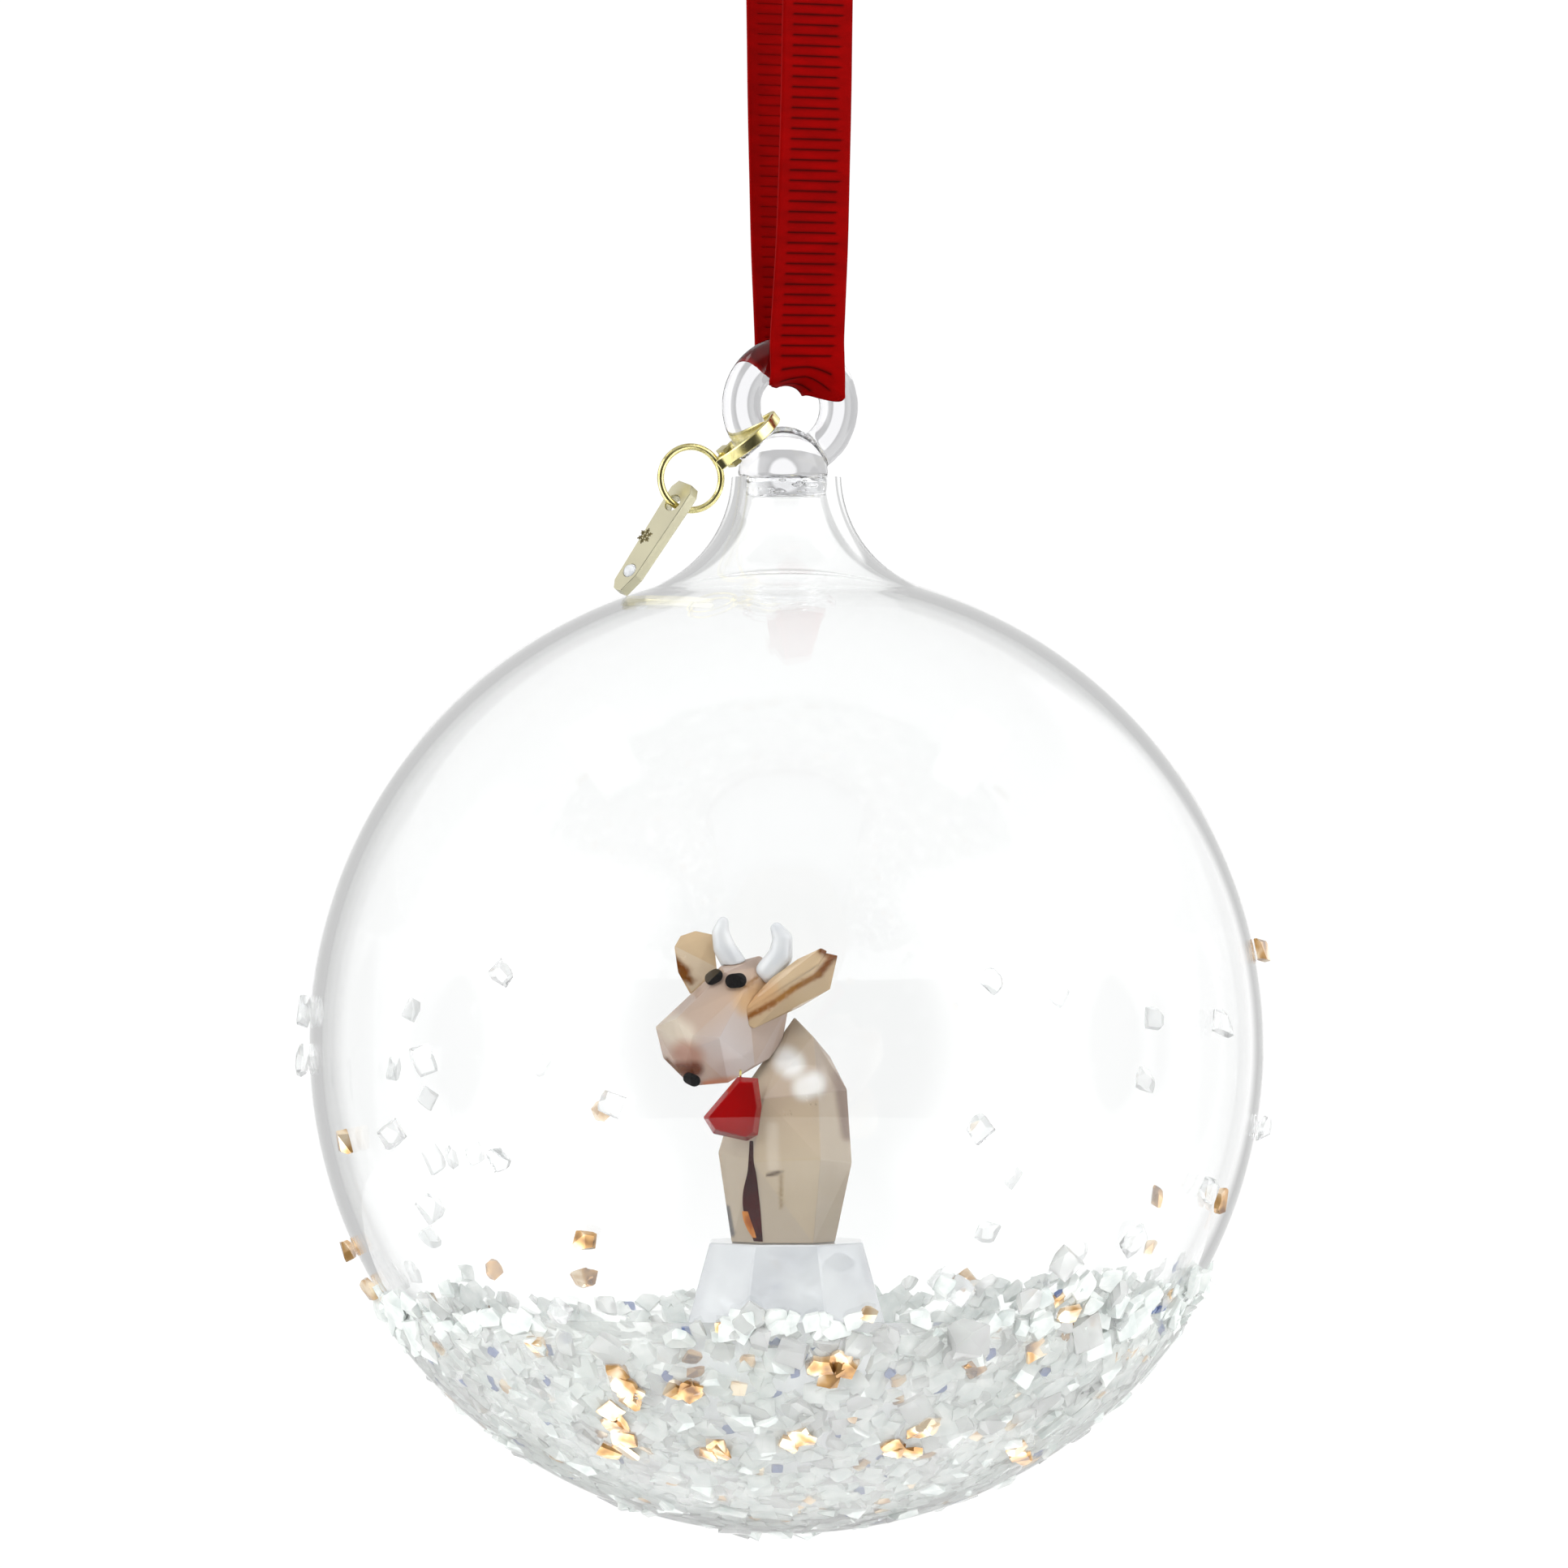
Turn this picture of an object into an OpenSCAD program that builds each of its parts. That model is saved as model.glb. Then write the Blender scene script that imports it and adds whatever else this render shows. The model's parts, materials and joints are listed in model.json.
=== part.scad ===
// Hanging glass ball ornament with a cut-crystal cow inside it, its ribbon and its charm.
// The origin is the inside top of the ribbon loop, where a peg or a hook carries it.
// +Z is up, the glass ring and the ribbon's strands face -Y and +Y. Millimetres.

/* [Glass ball] */
// Outside diameter of the blown ball
ball_d = 80; // [70:1:100]
// Thickness of the blown glass
ball_wall = 1.1; // [0.8:0.1:1.6]
// Diameter of the opening in the bottom, which the cap closes
opening_d = 30; // [28:1:34]

/* [Neck and hanging ring] */
// Outside diameter of the neck at its rim
neck_d = 9.2; // [9:0.1:11]
// Radius of the hollow curve between the neck and the ball
neck_curve = 10; // [8:0.5:14]
// Radius of the glass ring, to the middle of its rod
ring_r = 4.3; // [4.2:0.1:5]
// Diameter of the ring's rod
rod_d = 3.1; // [2.8:0.1:3.2]
// Diameter of the ring's foot, where it is fused to the neck
foot_d = 7.9; // [7.5:0.1:8.4]

/* [Ribbon] */
// Width of the grosgrain ribbon
ribbon_w = 6.35; // [5:0.05:6.5]
// Thickness of the ribbon
ribbon_t = 0.35; // [0.25:0.05:0.4]
// Inside radius of the loop where it lies over a peg
crown_r = 5; // [4.9:0.1:5.2]

/* [Charm] */
// Radius of the jump ring, to the middle of its wire
jump_r = 2.65; // [2.5:0.05:2.8]
// Diameter of the jump ring's wire
wire_d = 0.57; // [0.4:0.01:0.6]
// Thickness of the tag
tag_t = 1.0; // [0.8:0.1:1.1]
// Diameter of the hole in the tag
tag_hole_d = 1.5; // [1.4:0.05:1.6]
// Diameter of the stone set in the tag
stone_d = 1.2; // [0.8:0.1:1.3]

/* [Figure] */
// Turn of the plinth and the cow about the vertical
figure_turn = -18; // [-180:1:180]
// Radius of the plinth's top, to its corners
plinth_top_r = 6.9; // [6.6:0.1:7.4]
// Radius of the plinth's foot, to its corners
plinth_foot_r = 12.4; // [11:0.1:12.8]

/* [Glued crystals] */
// Thickness of the bed of chips around the bottom
bed_t = 1.3; // [1:0.1:1.8]
// Angle from straight down to the edge of the bed
bed_edge = 57; // [50:1:60]
// Number of loose clear chips above the bed
clear_chips = 34; // [6:1:60]
// Number of loose gold chips above the bed
gold_chips = 16; // [4:1:30]

/* [Hidden] */
$fn = 96;

far = 200;              // a length past everything, for cutting planes
glue_gap = 0.03;        // a chip's clearance off the glass
ball_r = ball_d / 2;
inner_r = ball_r - ball_wall;
rod_r = rod_d / 2;

// The hollow curve's centre, in a half-section with the ball's centre at its origin
curve_x = neck_d / 2 + neck_curve;
curve_z = sqrt(pow(ball_r + neck_curve, 2) - pow(curve_x, 2));
neck_top = curve_z - 0.3;

// Heights from the origin down
rod_z = -39.25;
ring_z = rod_z - ring_r;
rim_z = ring_z - ring_r - rod_r - 0.1;
ball_z = rim_z - neck_top;

// Where the ribbon runs, as [y, z] down the middle of its thickness: up the front strand
strand = [
    [-2.5, -39.2], [-2.6, -37], [-2.9, -34], [-3.4, -30], [-4, -24],
    [-4.5, -18], [-4.8, -12], [-5, -8], [-5.1, -6.5]
];
crown_mid = crown_r + ribbon_t / 2;
bight_clear = 0.1;
bight_half = 46;        // half of the arc that the ribbon covers on the ring

// The charm: the bail hangs at this angle from straight down on the ring
bail_turn = 50;
bail_clear = 0.2;
bail_t = 0.4;
bail_w = 1.3;
eye_u = 3.5;            // from the rod's middle to the bail's eye
eye_in = 0.7;
eye_out = 1.1;
jump_turn = 25;         // where the bail's eye sits on the jump ring, above level
tag_turn = 240;         // where the tag's hole sits on the jump ring
tag_lean = 33.5;
tag_twist = -60;

limb = [-ring_r * sin(bail_turn), 0, ring_z - ring_r * cos(bail_turn)];
eye = limb + eye_u * [-sin(bail_turn), 0, -cos(bail_turn)];
jump_mid = eye - jump_r * [cos(jump_turn), 0, sin(jump_turn)];
tag_at = jump_mid + jump_r * [cos(tag_turn), 0, sin(tag_turn)];

// The plinth's heights from the ball's centre
plinth_top_z = -16.5;
plinth_foot_z = -35;

// The cow's corners as [right, back, up] from the ball's centre
head_corners = [
    [-10.8, -4, 1.5], [-10.2, -3.5, -1], [-8.5, -5.5, -2.6], [-7.5, -6, -3.2],
    [-4.9, -5, -3], [-2.7, -3.5, -1.6], [-1.5, -2, -1.1], [-0.4, -0.5, 0.3],
    [-8, -1.5, 4.1], [-5.4, -1, 6.5], [-2.3, 0.5, 7.3], [-0.6, 0.5, 6.3], [0.2, 0, 3.5],
    [-7.7, -6.8, 0.9], [-9.1, -5.8, 2.2], [-8, -6.9, -0.1], [-5.1, -3, 6], [-3.3, -4, 4.9],
    [-4.6, -5, 2.5], [-5.6, -6, 0.7], [-5.8, 2, 4], [-2, 3.4, 5], [-1.2, 2.6, 0.6], [-5, 0.6, -1]
];
body_corners = [
    [-4.5, -2.6, -16.4], [-2.2, -4.6, -16.4], [2.2, -4.6, -16.4], [4, -2.4, -16.4],
    [4, 2.6, -16.4], [1.8, 4.4, -16.4], [-2.4, 4.2, -16.4], [-4.5, 2.2, -16.4],
    [-5.6, -3, -9], [-2.8, -5.6, -9.6], [2.8, -5.4, -9.4], [5.4, -2.6, -9.8],
    [5.4, 3, -9.6], [2.4, 5.2, -9], [-3, 5, -9], [-5.5, 2.2, -9],
    [-4.4, -3, -5], [-1.8, -5.2, -4.4], [2.6, -4.6, -4], [5, -1.8, -3.8],
    [4.8, 2.4, -3.6], [1.5, 4.4, -3.2], [-3.2, 3.6, -4],
    [2.2, -1.6, 0.6], [3.6, -0.6, -1.1], [3.2, 2, -0.8], [0.7, 0.6, 2.1]
];
ear_right_upper = [
    [-4.1, -4.2, 2.5], [-1.1, -2.6, 5.6], [1, -2.6, 7.1], [2.9, -2.8, 8], [3.3, -2.6, 7.8],
    [-1.1, -3.2, 3.6], [2.7, -3.2, 6.9], [-1, -1.2, 4.6], [2.4, -1.8, 7.3]
];
ear_right_lower = [
    [-4.1, -4.2, 2.3], [-2.7, -3.8, 1.5], [-1.1, -3.1, 3.4], [2.7, -3.1, 6.7], [3.3, -2.5, 7.6],
    [4.2, -2.2, 7.4], [3.6, -1.8, 4.7], [1.1, -1.8, 3.2], [-1.2, -2, 2.5], [-0.8, -1, 3.4]
];
ear_left_leaf = [
    [-5.9, -0.6, 6.4], [-6.2, 0, 9.1], [-7.6, 0, 9.4], [-8.8, -0.2, 9], [-9.3, -0.5, 8.1],
    [-9, -0.8, 6.1], [-8, -1, 4.3], [-7.4, -0.9, 4.6], [-7.2, 1.1, 7.2], [-7.6, 0.9, 6]
];
// A horn is a chain of shrinking balls, each [place, radius]
horn_left_balls = [
    [[-4.3, -0.4, 6.6], 1.05], [[-5.2, -0.6, 8.1], 0.95], [[-5.5, -0.7, 9.3], 0.75], [[-5.3, -0.8, 10.2], 0.5]
];
horn_right_balls = [
    [[-1.5, -1.6, 6.1], 1.1], [[-0.5, -1.8, 7.4], 1.05], [[-0.3, -1.9, 8.8], 0.85], [[-0.8, -2, 9.7], 0.55]
];
bell_front = [[-3.9, -3], [-2.8, -3], [-2.5, -5], [-2.8, -7], [-3.4, -7.4], [-5.8, -6.8], [-6.4, -5.9]];
bell_back = [[-4, -2.6], [-2.4, -2.7], [-2.1, -5], [-2.4, -7.3], [-3.3, -7.8], [-6, -7.2], [-6.8, -5.9]];
bell_front_y = -7.5;
bell_back_y = -6.3;

// ---- Shared shapes ----

// A thin band of the given thickness along a list of [across, up] points
function across(a, b) = [a[1] - b[1], b[0] - a[0]] / norm(b - a);
function side(points, i) =
    let (before = points[max(i - 1, 0)], after = points[min(i + 1, len(points) - 1)])
    across(before, after);
function edge(points, shift) = [for (i = [0:len(points) - 1]) points[i] + shift * side(points, i)];
function reversed(points) = [for (i = [len(points) - 1:-1:0]) points[i]];
module band(points, thickness) {
    polygon(concat(edge(points, thickness / 2), reversed(edge(points, -thickness / 2))));
}

// An arc of the ribbon's crown, as [y, z], from one angle to another
function crown_arc(radius, from, to, step) =
    [for (a = [from:step:to]) [radius * cos(a), -crown_r + radius * sin(a)]];

// Stand a [y, z] outline up and give it the ribbon's width along X
module across_ribbon(width) {
    rotate([90, 0, 90]) linear_extrude(width, center = true) children();
}

// Sweep a section part of the way round the hanging ring
module round_ring(from, sweep) {
    translate([0, 0, ring_z]) rotate([90, 0, 0]) rotate([0, 0, from])
        rotate_extrude(angle = sweep) translate([ring_r, 0]) children();
}

// A cut stone: the convex shape on its corners, with a fine polish on the edges
module cut_stone(corners, polish = 0.12) {
    hull() for (corner = corners) translate(corner) cube(polish, center = true);
}

// The wall of the ball in half-section, all the way round
module wall_section() {
    difference() {
        circle(r = ball_r);
        circle(r = inner_r);
        translate([-far, -far / 2]) square([far, far]);
    }
}

module at_ball() translate([0, 0, ball_z]) children();
module at_figure() at_ball() rotate([0, 0, figure_turn]) children();

// ---- Ribbon ----

module ribbon_loop() {
    other_strand = [for (p = reversed(strand)) [-p[0], p[1]]];
    route = concat(strand, reversed(crown_arc(crown_mid, 0, 180, 12)), other_strand);
    color("firebrick") across_ribbon(ribbon_w) band(route, ribbon_t);
}

// The overlap that closes the loop, behind the crown
module ribbon_lap() {
    lap_r = crown_mid + ribbon_t + 0.02;
    route = concat([[lap_r - 0.1, -8]], crown_arc(lap_r, 0, 60, 10));
    color("brown") across_ribbon(ribbon_w) band(route, ribbon_t);
}

// The turn of the ribbon under the top of the glass ring
module ribbon_bight() {
    inside = rod_r + bight_clear;
    color("firebrick") round_ring(90 - bight_half, 2 * bight_half) difference() {
        circle(r = inside + ribbon_t);
        circle(r = inside);
        translate([0, -far / 2]) square([far, far]);
    }
}

// ---- Glass ----

module glass_ball() {
    color("lightcyan") at_ball() rotate_extrude() difference() {
        wall_section();
        polygon([[0, 0], 3 * [curve_x, curve_z], [0, far]]);
        translate([0, -far]) square([opening_d / 2, far]);
    }
}

module glass_neck() {
    color("lightcyan") at_ball() rotate_extrude() intersection() {
        translate([curve_x, curve_z]) difference() {
            circle(r = neck_curve + ball_wall);
            circle(r = neck_curve);
        }
        polygon([[0, 0], [curve_x, curve_z], [curve_x, neck_top], [0, neck_top]]);
    }
}

// The piece cut from the bottom and glued back behind the figure
module base_cap() {
    color("lightcyan") at_ball() rotate_extrude() intersection() {
        wall_section();
        translate([0, -far]) square([opening_d / 2 - 0.1, far]);
    }
}

module hanging_ring() {
    foot_h = 3.9;
    color("azure") union() {
        round_ring(0, 360) circle(r = rod_r);
        translate([0, 0, rim_z]) cylinder(h = foot_h, d1 = foot_d, r2 = 1.3);
    }
}

// The fused bead where the foot sits on the rim
module neck_weld() {
    foot_r = foot_d / 2;
    color("white") translate([0, 0, rim_z]) rotate_extrude()
        polygon([[foot_r + 0.02, 0.01], [neck_d / 2 - 0.05, 0.01], [foot_r - 0.18, 0.5]]);
}

// ---- Figure ----

module plinth_seat() {
    seat_r = plinth_foot_r + 0.5;
    color("whitesmoke") at_ball() intersection() {
        sphere(r = inner_r - glue_gap);
        translate([0, 0, -inner_r - 1]) cylinder(h = inner_r + 1 + plinth_foot_z - 0.02, r = seat_r);
    }
}

module plinth() {
    color("lightgray") at_figure() translate([0, 0, plinth_foot_z]) rotate([0, 0, 22.5])
        cylinder(h = plinth_top_z - plinth_foot_z, r1 = plinth_foot_r, r2 = plinth_top_r, $fn = 8);
}

module head_shape(polish = 0.12) cut_stone(head_corners, polish);

module cow_head() color("rosybrown") at_figure() head_shape();

module cow_body() {
    color("tan") at_figure() difference() {
        cut_stone(body_corners);
        head_shape(0.16);
    }
}

// An ear, a horn: whatever stands on the head is cut to sit against it
module on_head() {
    at_figure() difference() {
        union() children();
        head_shape(0.16);
    }
}

module horn(balls, grow = 0) {
    for (i = [0:len(balls) - 2]) hull() for (ball = [balls[i], balls[i + 1]])
        translate(ball[0]) sphere(r = ball[1] + grow, $fn = 20);
}

module horn_left() color("white") on_head() horn(horn_left_balls);
module horn_right() color("white") on_head() horn(horn_right_balls);

module ear_left() {
    color("peru") difference() {
        on_head() cut_stone(ear_left_leaf);
        at_figure() horn(horn_left_balls, 0.02);
    }
}

module ear_right() {
    color("peru") difference() {
        on_head() {
            cut_stone(ear_right_upper);
            cut_stone(ear_right_lower);
        }
        at_figure() horn(horn_right_balls, 0.02);
    }
}

// A thin inlay on the front of the head, inside an oval seen from the front
module inlay(at, length, height, lean) {
    at_figure() intersection() {
        difference() {
            head_shape(0.6);
            head_shape(0.16);
        }
        translate([at[0], -1.3, at[1]]) rotate([90, lean, 0]) linear_extrude(12) hull()
            for (s = [-1, 1]) translate([s * (length - height) / 2, 0]) circle(d = height, $fn = 16);
    }
}

module eye_left() color("black") inlay([-6.05, 5.7], 1.6, 1.1, -28);
module eye_right() color("black") inlay([-4.2, 5.4], 1.8, 1.2, -6);
module nose_tip() color("black") inlay([-7.85, -2.75], 1.5, 1.0, 25);

// A rounded three-cornered bell, cut with a bevel round its front
module cow_bell() {
    color("crimson") at_figure() cut_stone(concat(
        [for (p = bell_front) [p[0], bell_front_y, p[1]]],
        [for (p = bell_back) [p[0], bell_back_y, p[1]]]
    ));
}

module bell_loop() {
    color("gold") at_figure() translate([-3.8, -6.9, -2.25]) rotate([0, 90, 0])
        rotate_extrude($fn = 24) translate([0.26, 0]) circle(r = 0.09, $fn = 14);
}

// ---- Glued crystals ----

module crystal_bed() {
    color("gainsboro") at_ball() rotate_extrude() intersection() {
        difference() {
            circle(r = ball_r + bed_t);
            circle(r = ball_r + glue_gap);
        }
        polygon([[0, 0], [0, -far], far * [sin(bed_edge), -cos(bed_edge)]]);
    }
}

// Chips on a spiral from the edge of the bed up the ball, each turned its own way
module loose_chips(count, size, first, top) {
    golden = 137.5;
    low = -90 + bed_edge + 4;
    at_ball() for (i = [0:count - 1]) {
        up = low + (top - low) * pow(i / count, 1.6);
        s = size * (0.8 + 0.4 * abs(sin(first + 77 * i)));
        rotate([0, 0, first + golden * i]) rotate([0, 90 - up, 0])
            translate([0, 0, ball_r + glue_gap]) rotate([0, 0, 50 * i])
                translate([-s / 2, -s / 2, 0]) cube([s, s, 0.7 * s]);
    }
}

module crystals_clear() color("white") loose_chips(clear_chips, 1.5, 0, 12);
module crystals_gold() color("goldenrod") loose_chips(gold_chips, 1.6, 63, -2);

// ---- Charm ----

// The bail's own frame: X runs from the rod out to the eye, Y across, Z along the rod
module at_bail() {
    translate(limb) rotate([0, 90 + bail_turn, 0]) rotate([0, 0, 180]) mirror([1, 0, 0]) children();
}

module bail_outline(grow) {
    hull() {
        circle(r = rod_r + bail_clear + grow, $fn = 48);
        translate([-3.2, 0]) circle(r = 0.5 + grow, $fn = 32);
    }
}

module bail_band() {
    color("khaki") at_bail() linear_extrude(bail_w, center = true) difference() {
        union() {
            bail_outline(bail_t);
            translate([1.9, -0.5]) square([1.2, 1]);
            translate([eye_u, 0]) circle(r = eye_out, $fn = 48);
        }
        bail_outline(0);
        translate([eye_u, 0]) circle(r = eye_in, $fn = 48);
    }
}

// The crimped sleeve that pinches the band shut
module bail_sleeve() {
    color("palegoldenrod") at_bail() intersection() {
        difference() {
            translate([1.9, -0.95, -0.9]) cube([0.75, 1.9, 1.8]);
            linear_extrude(bail_w + 0.04, center = true) {
                bail_outline(bail_t + 0.02);
                translate([1.9, -0.52]) square([1.4, 1.04]);
                translate([eye_u, 0]) circle(r = eye_out + 0.02, $fn = 48);
            }
        }
        cylinder(h = 3, r = 5, center = true);
    }
}

module jump_ring() {
    color("khaki") translate(jump_mid) rotate([90, 0, 0])
        rotate_extrude() translate([jump_r, 0]) circle(d = wire_d, $fn = 24);
}

module at_tag() translate(tag_at) rotate([0, tag_lean, 0]) rotate([0, 0, tag_twist]) children();

module tag_outline() {
    polygon([
        [-0.8, 2], [0.8, 2], [1.2, 1.3], [1.2, 0], [0.95, -7],
        [0.4, -8.7], [-0.5, -8.7], [-0.95, -8], [-1.2, 0], [-1.2, 1.3]
    ]);
}

stone_drop = 6.8;       // from the tag's hole down to its stone
stone_sunk = 0.3;

module tag_plate() {
    color("wheat") at_tag() difference() {
        rotate([90, 0, 0]) linear_extrude(tag_t, center = true) tag_outline();
        rotate([90, 0, 0]) cylinder(h = tag_t + 1, d = tag_hole_d, center = true);
        translate([0, -tag_t / 2 + stone_sunk, -stone_drop]) rotate([90, 0, 0])
            cylinder(h = 1, d = stone_d + 0.04);
    }
}

module tag_stone() {
    color("white") at_tag() translate([0, -tag_t / 2 + stone_sunk - 0.01, -stone_drop]) rotate([90, 0, 0]) {
        cylinder(h = stone_sunk, d = stone_d);
        translate([0, 0, stone_sunk]) cylinder(h = 0.25, d1 = stone_d, d2 = 0.6 * stone_d);
    }
}

ribbon_loop();
ribbon_lap();
ribbon_bight();
glass_ball();
glass_neck();
base_cap();
hanging_ring();
neck_weld();
plinth_seat();
plinth();
cow_body();
cow_head();
ear_left();
ear_right();
horn_left();
horn_right();
eye_left();
eye_right();
nose_tip();
cow_bell();
bell_loop();
crystal_bed();
crystals_clear();
crystals_gold();
bail_band();
bail_sleeve();
jump_ring();
tag_plate();
tag_stone();
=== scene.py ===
import json
import math
import random

import bmesh
import bpy
from mathutils import Matrix, Vector
from mathutils.bvhtree import BVHTree


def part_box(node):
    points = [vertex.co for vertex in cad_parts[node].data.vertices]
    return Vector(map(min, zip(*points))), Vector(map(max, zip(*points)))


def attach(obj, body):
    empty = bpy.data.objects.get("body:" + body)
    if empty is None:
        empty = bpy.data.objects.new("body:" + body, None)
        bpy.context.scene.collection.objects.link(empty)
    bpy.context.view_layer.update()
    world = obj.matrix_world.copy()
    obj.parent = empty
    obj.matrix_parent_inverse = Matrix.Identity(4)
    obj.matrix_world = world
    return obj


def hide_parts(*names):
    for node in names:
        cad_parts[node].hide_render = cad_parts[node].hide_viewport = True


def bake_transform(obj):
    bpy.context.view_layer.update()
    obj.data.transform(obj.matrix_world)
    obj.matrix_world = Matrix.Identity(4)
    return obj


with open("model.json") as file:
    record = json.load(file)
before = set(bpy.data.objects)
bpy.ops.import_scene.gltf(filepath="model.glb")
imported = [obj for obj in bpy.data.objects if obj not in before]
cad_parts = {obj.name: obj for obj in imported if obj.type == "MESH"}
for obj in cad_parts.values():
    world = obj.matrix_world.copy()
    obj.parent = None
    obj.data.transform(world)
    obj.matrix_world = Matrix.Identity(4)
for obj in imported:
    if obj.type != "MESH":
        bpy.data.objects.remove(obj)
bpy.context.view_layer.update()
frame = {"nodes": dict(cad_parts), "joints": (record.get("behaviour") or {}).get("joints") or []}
nodes = frame["nodes"]

MM = 0.001
X, Y, Z = Vector((1, 0, 0)), Vector((0, 1, 0)), Vector((0, 0, 1))

# ---- Places, from the frame ----

BALL_MM = 40
BALL_R = BALL_MM * MM
BALL_WALL = 1.1 * MM
BALL = Vector((0, 0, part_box("base_cap")[0].z + BALL_R))
joints = {j["name"]: j for j in frame["joints"]}
ROD_TOP = Vector(joints["swing_front_back"]["pos_m"])
RING = Vector(joints["sway_sideways"]["pos_m"])
LIMB = Vector(joints["bail_swing"]["pos_m"])
EYE = Vector(joints["jump_ring_swing"]["pos_m"])
RING_R = ROD_TOP.z - RING.z
ROD_R = 1.55 * MM
RIM_Z = RING.z - RING_R - ROD_R - 0.1 * MM

# The ornament is shown turned a little, and its figure is turned the same way. Right and away
# are as seen from the shown side.
SHOWN_TURN = math.radians(-18)
RIGHT = Vector((math.cos(SHOWN_TURN), math.sin(SHOWN_TURN), 0))
AWAY = Vector((-math.sin(SHOWN_TURN), math.cos(SHOWN_TURN), 0))


# ---- Mesh helpers ----

def new_object(name, data):
    thing = bpy.data.objects.new(name, data)
    bpy.context.scene.collection.objects.link(thing)
    return thing


def finish_mesh(bm, name, smooth=True, crease=35):
    """A named object from a bmesh, shaded smooth but for its hard edges."""
    mesh = bpy.data.meshes.new(name)
    bm.to_mesh(mesh)
    bm.free()
    if smooth:
        mesh.shade_smooth()
        mesh.set_sharp_from_angle(angle=math.radians(crease))
    return new_object(name, mesh)


def outwards(bm, gap=1e-6):
    """Join the doubles and turn the faces outwards."""
    bmesh.ops.remove_doubles(bm, verts=bm.verts, dist=gap)
    bmesh.ops.recalc_face_normals(bm, faces=bm.faces)


def lathe(outline, steps, closed=True, centre=(0, 0, 0)):
    """A solid of revolution about Z from its half-section, as (radius, height) points."""
    bm = bmesh.new()
    ring = [bm.verts.new((r, 0, z)) for r, z in outline]
    edges = [bm.edges.new(pair) for pair in zip(ring, ring[1:])]
    if closed:
        edges.append(bm.edges.new((ring[-1], ring[0])))
    bmesh.ops.spin(bm, geom=ring + edges, axis=Z, cent=(0, 0, 0), angle=2 * math.pi,
                   steps=steps, use_merge=True)
    outwards(bm)
    bmesh.ops.translate(bm, verts=bm.verts, vec=centre)
    return bm


def arc(cx, cz, radius, start, end, count):
    """Points on an arc, with the angles in degrees from level."""
    turn = [math.radians(start + (end - start) * i / count) for i in range(count + 1)]
    return [(cx + radius * math.cos(a), cz + radius * math.sin(a)) for a in turn]


def polar(radius, angle):
    """One point, from its angle in degrees from level."""
    turn = math.radians(angle)
    return radius * math.cos(turn), radius * math.sin(turn)


def baked(piece):
    """The piece with its modifiers worked into its mesh."""
    bpy.context.view_layer.update()
    graph = bpy.context.evaluated_depsgraph_get()
    mesh = bpy.data.meshes.new_from_object(piece.evaluated_get(graph))
    piece.modifiers.clear()
    piece.data = mesh
    return piece


def melted(piece, voxel, rounds):
    """The piece with its parts run together and its edges rounded."""
    melt = piece.modifiers.new("melt", "REMESH")
    melt.mode = "VOXEL"
    melt.voxel_size = voxel
    soften = piece.modifiers.new("soften", "SMOOTH")
    soften.factor = 0.5
    soften.iterations = rounds
    baked(piece)
    piece.data.shade_smooth()
    return piece


def place(piece, body, slot, material, *stands_for):
    """Give a piece its body, its finish, and the CAD nodes it stands for."""
    piece.data.materials.clear()
    piece.data.materials.append(material)
    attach(piece, body)
    if stands_for:
        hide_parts(*stands_for)
    return piece


# ---- Material helpers ----

def shown(*levels):
    """A colour given as it looks on a screen, from 0 to 1, turned to the light it stands for."""
    return tuple(v / 12.92 if v < 0.04 else ((v + 0.055) / 1.055) ** 2.4 for v in levels)


def new_material(name, colour, roughness, **sockets):
    """A Principled material, with its whole-surface numbers set on the shader itself."""
    material = bpy.data.materials.new(name)
    material.use_nodes = True
    shader = material.node_tree.nodes["Principled BSDF"]
    shader.inputs["Base Color"].default_value = (*colour, 1)
    shader.inputs["Roughness"].default_value = roughness
    for socket, value in sockets.items():
        shader.inputs[socket.replace("_", " ")].default_value = value
    return material, material.node_tree, shader


def add_node(tree, kind, **settings):
    node = tree.nodes.new(kind)
    for name, value in settings.items():
        if name in node.inputs:
            node.inputs[name].default_value = value
        else:
            setattr(node, name, value)
    return node


def noise(tree, scale, detail=3, stretch=(1, 1, 1), source="Object"):
    """Noise over the piece's own coordinates, in cycles per metre."""
    coordinates = add_node(tree, "ShaderNodeTexCoord")
    mapping = add_node(tree, "ShaderNodeMapping")
    mapping.inputs["Scale"].default_value = stretch
    texture = add_node(tree, "ShaderNodeTexNoise")
    texture.inputs["Scale"].default_value = scale
    texture.inputs["Detail"].default_value = detail
    tree.links.new(coordinates.outputs[source], mapping.inputs["Vector"])
    tree.links.new(mapping.outputs["Vector"], texture.inputs["Vector"])
    return texture


def ramp(tree, factor, stops):
    """Colours between (place, colour) stops."""
    node = add_node(tree, "ShaderNodeValToRGB")
    elements = node.color_ramp.elements
    while len(elements) < len(stops):
        elements.new(0.5)
    for element, (where, colour) in zip(elements, stops):
        element.position = where
        element.color = (*colour, 1)
    tree.links.new(factor, node.inputs["Fac"])
    return node


def colour_by(tree, texture, stops, shader, socket="Base Color"):
    """Colour a socket of the shader by a noise, between (place, colour) stops."""
    tree.links.new(ramp(tree, texture.outputs["Fac"], stops).outputs["Color"], shader.inputs[socket])


def multiply(tree, first, second):
    """Two colours multiplied."""
    product = add_node(tree, "ShaderNodeMix", data_type="RGBA", blend_type="MULTIPLY")
    product.inputs["Factor"].default_value = 1
    tree.links.new(first, product.inputs[6])  # sockets 6, 7 and 2 are the colour ones
    tree.links.new(second, product.inputs[7])
    return product.outputs[2]


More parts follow.
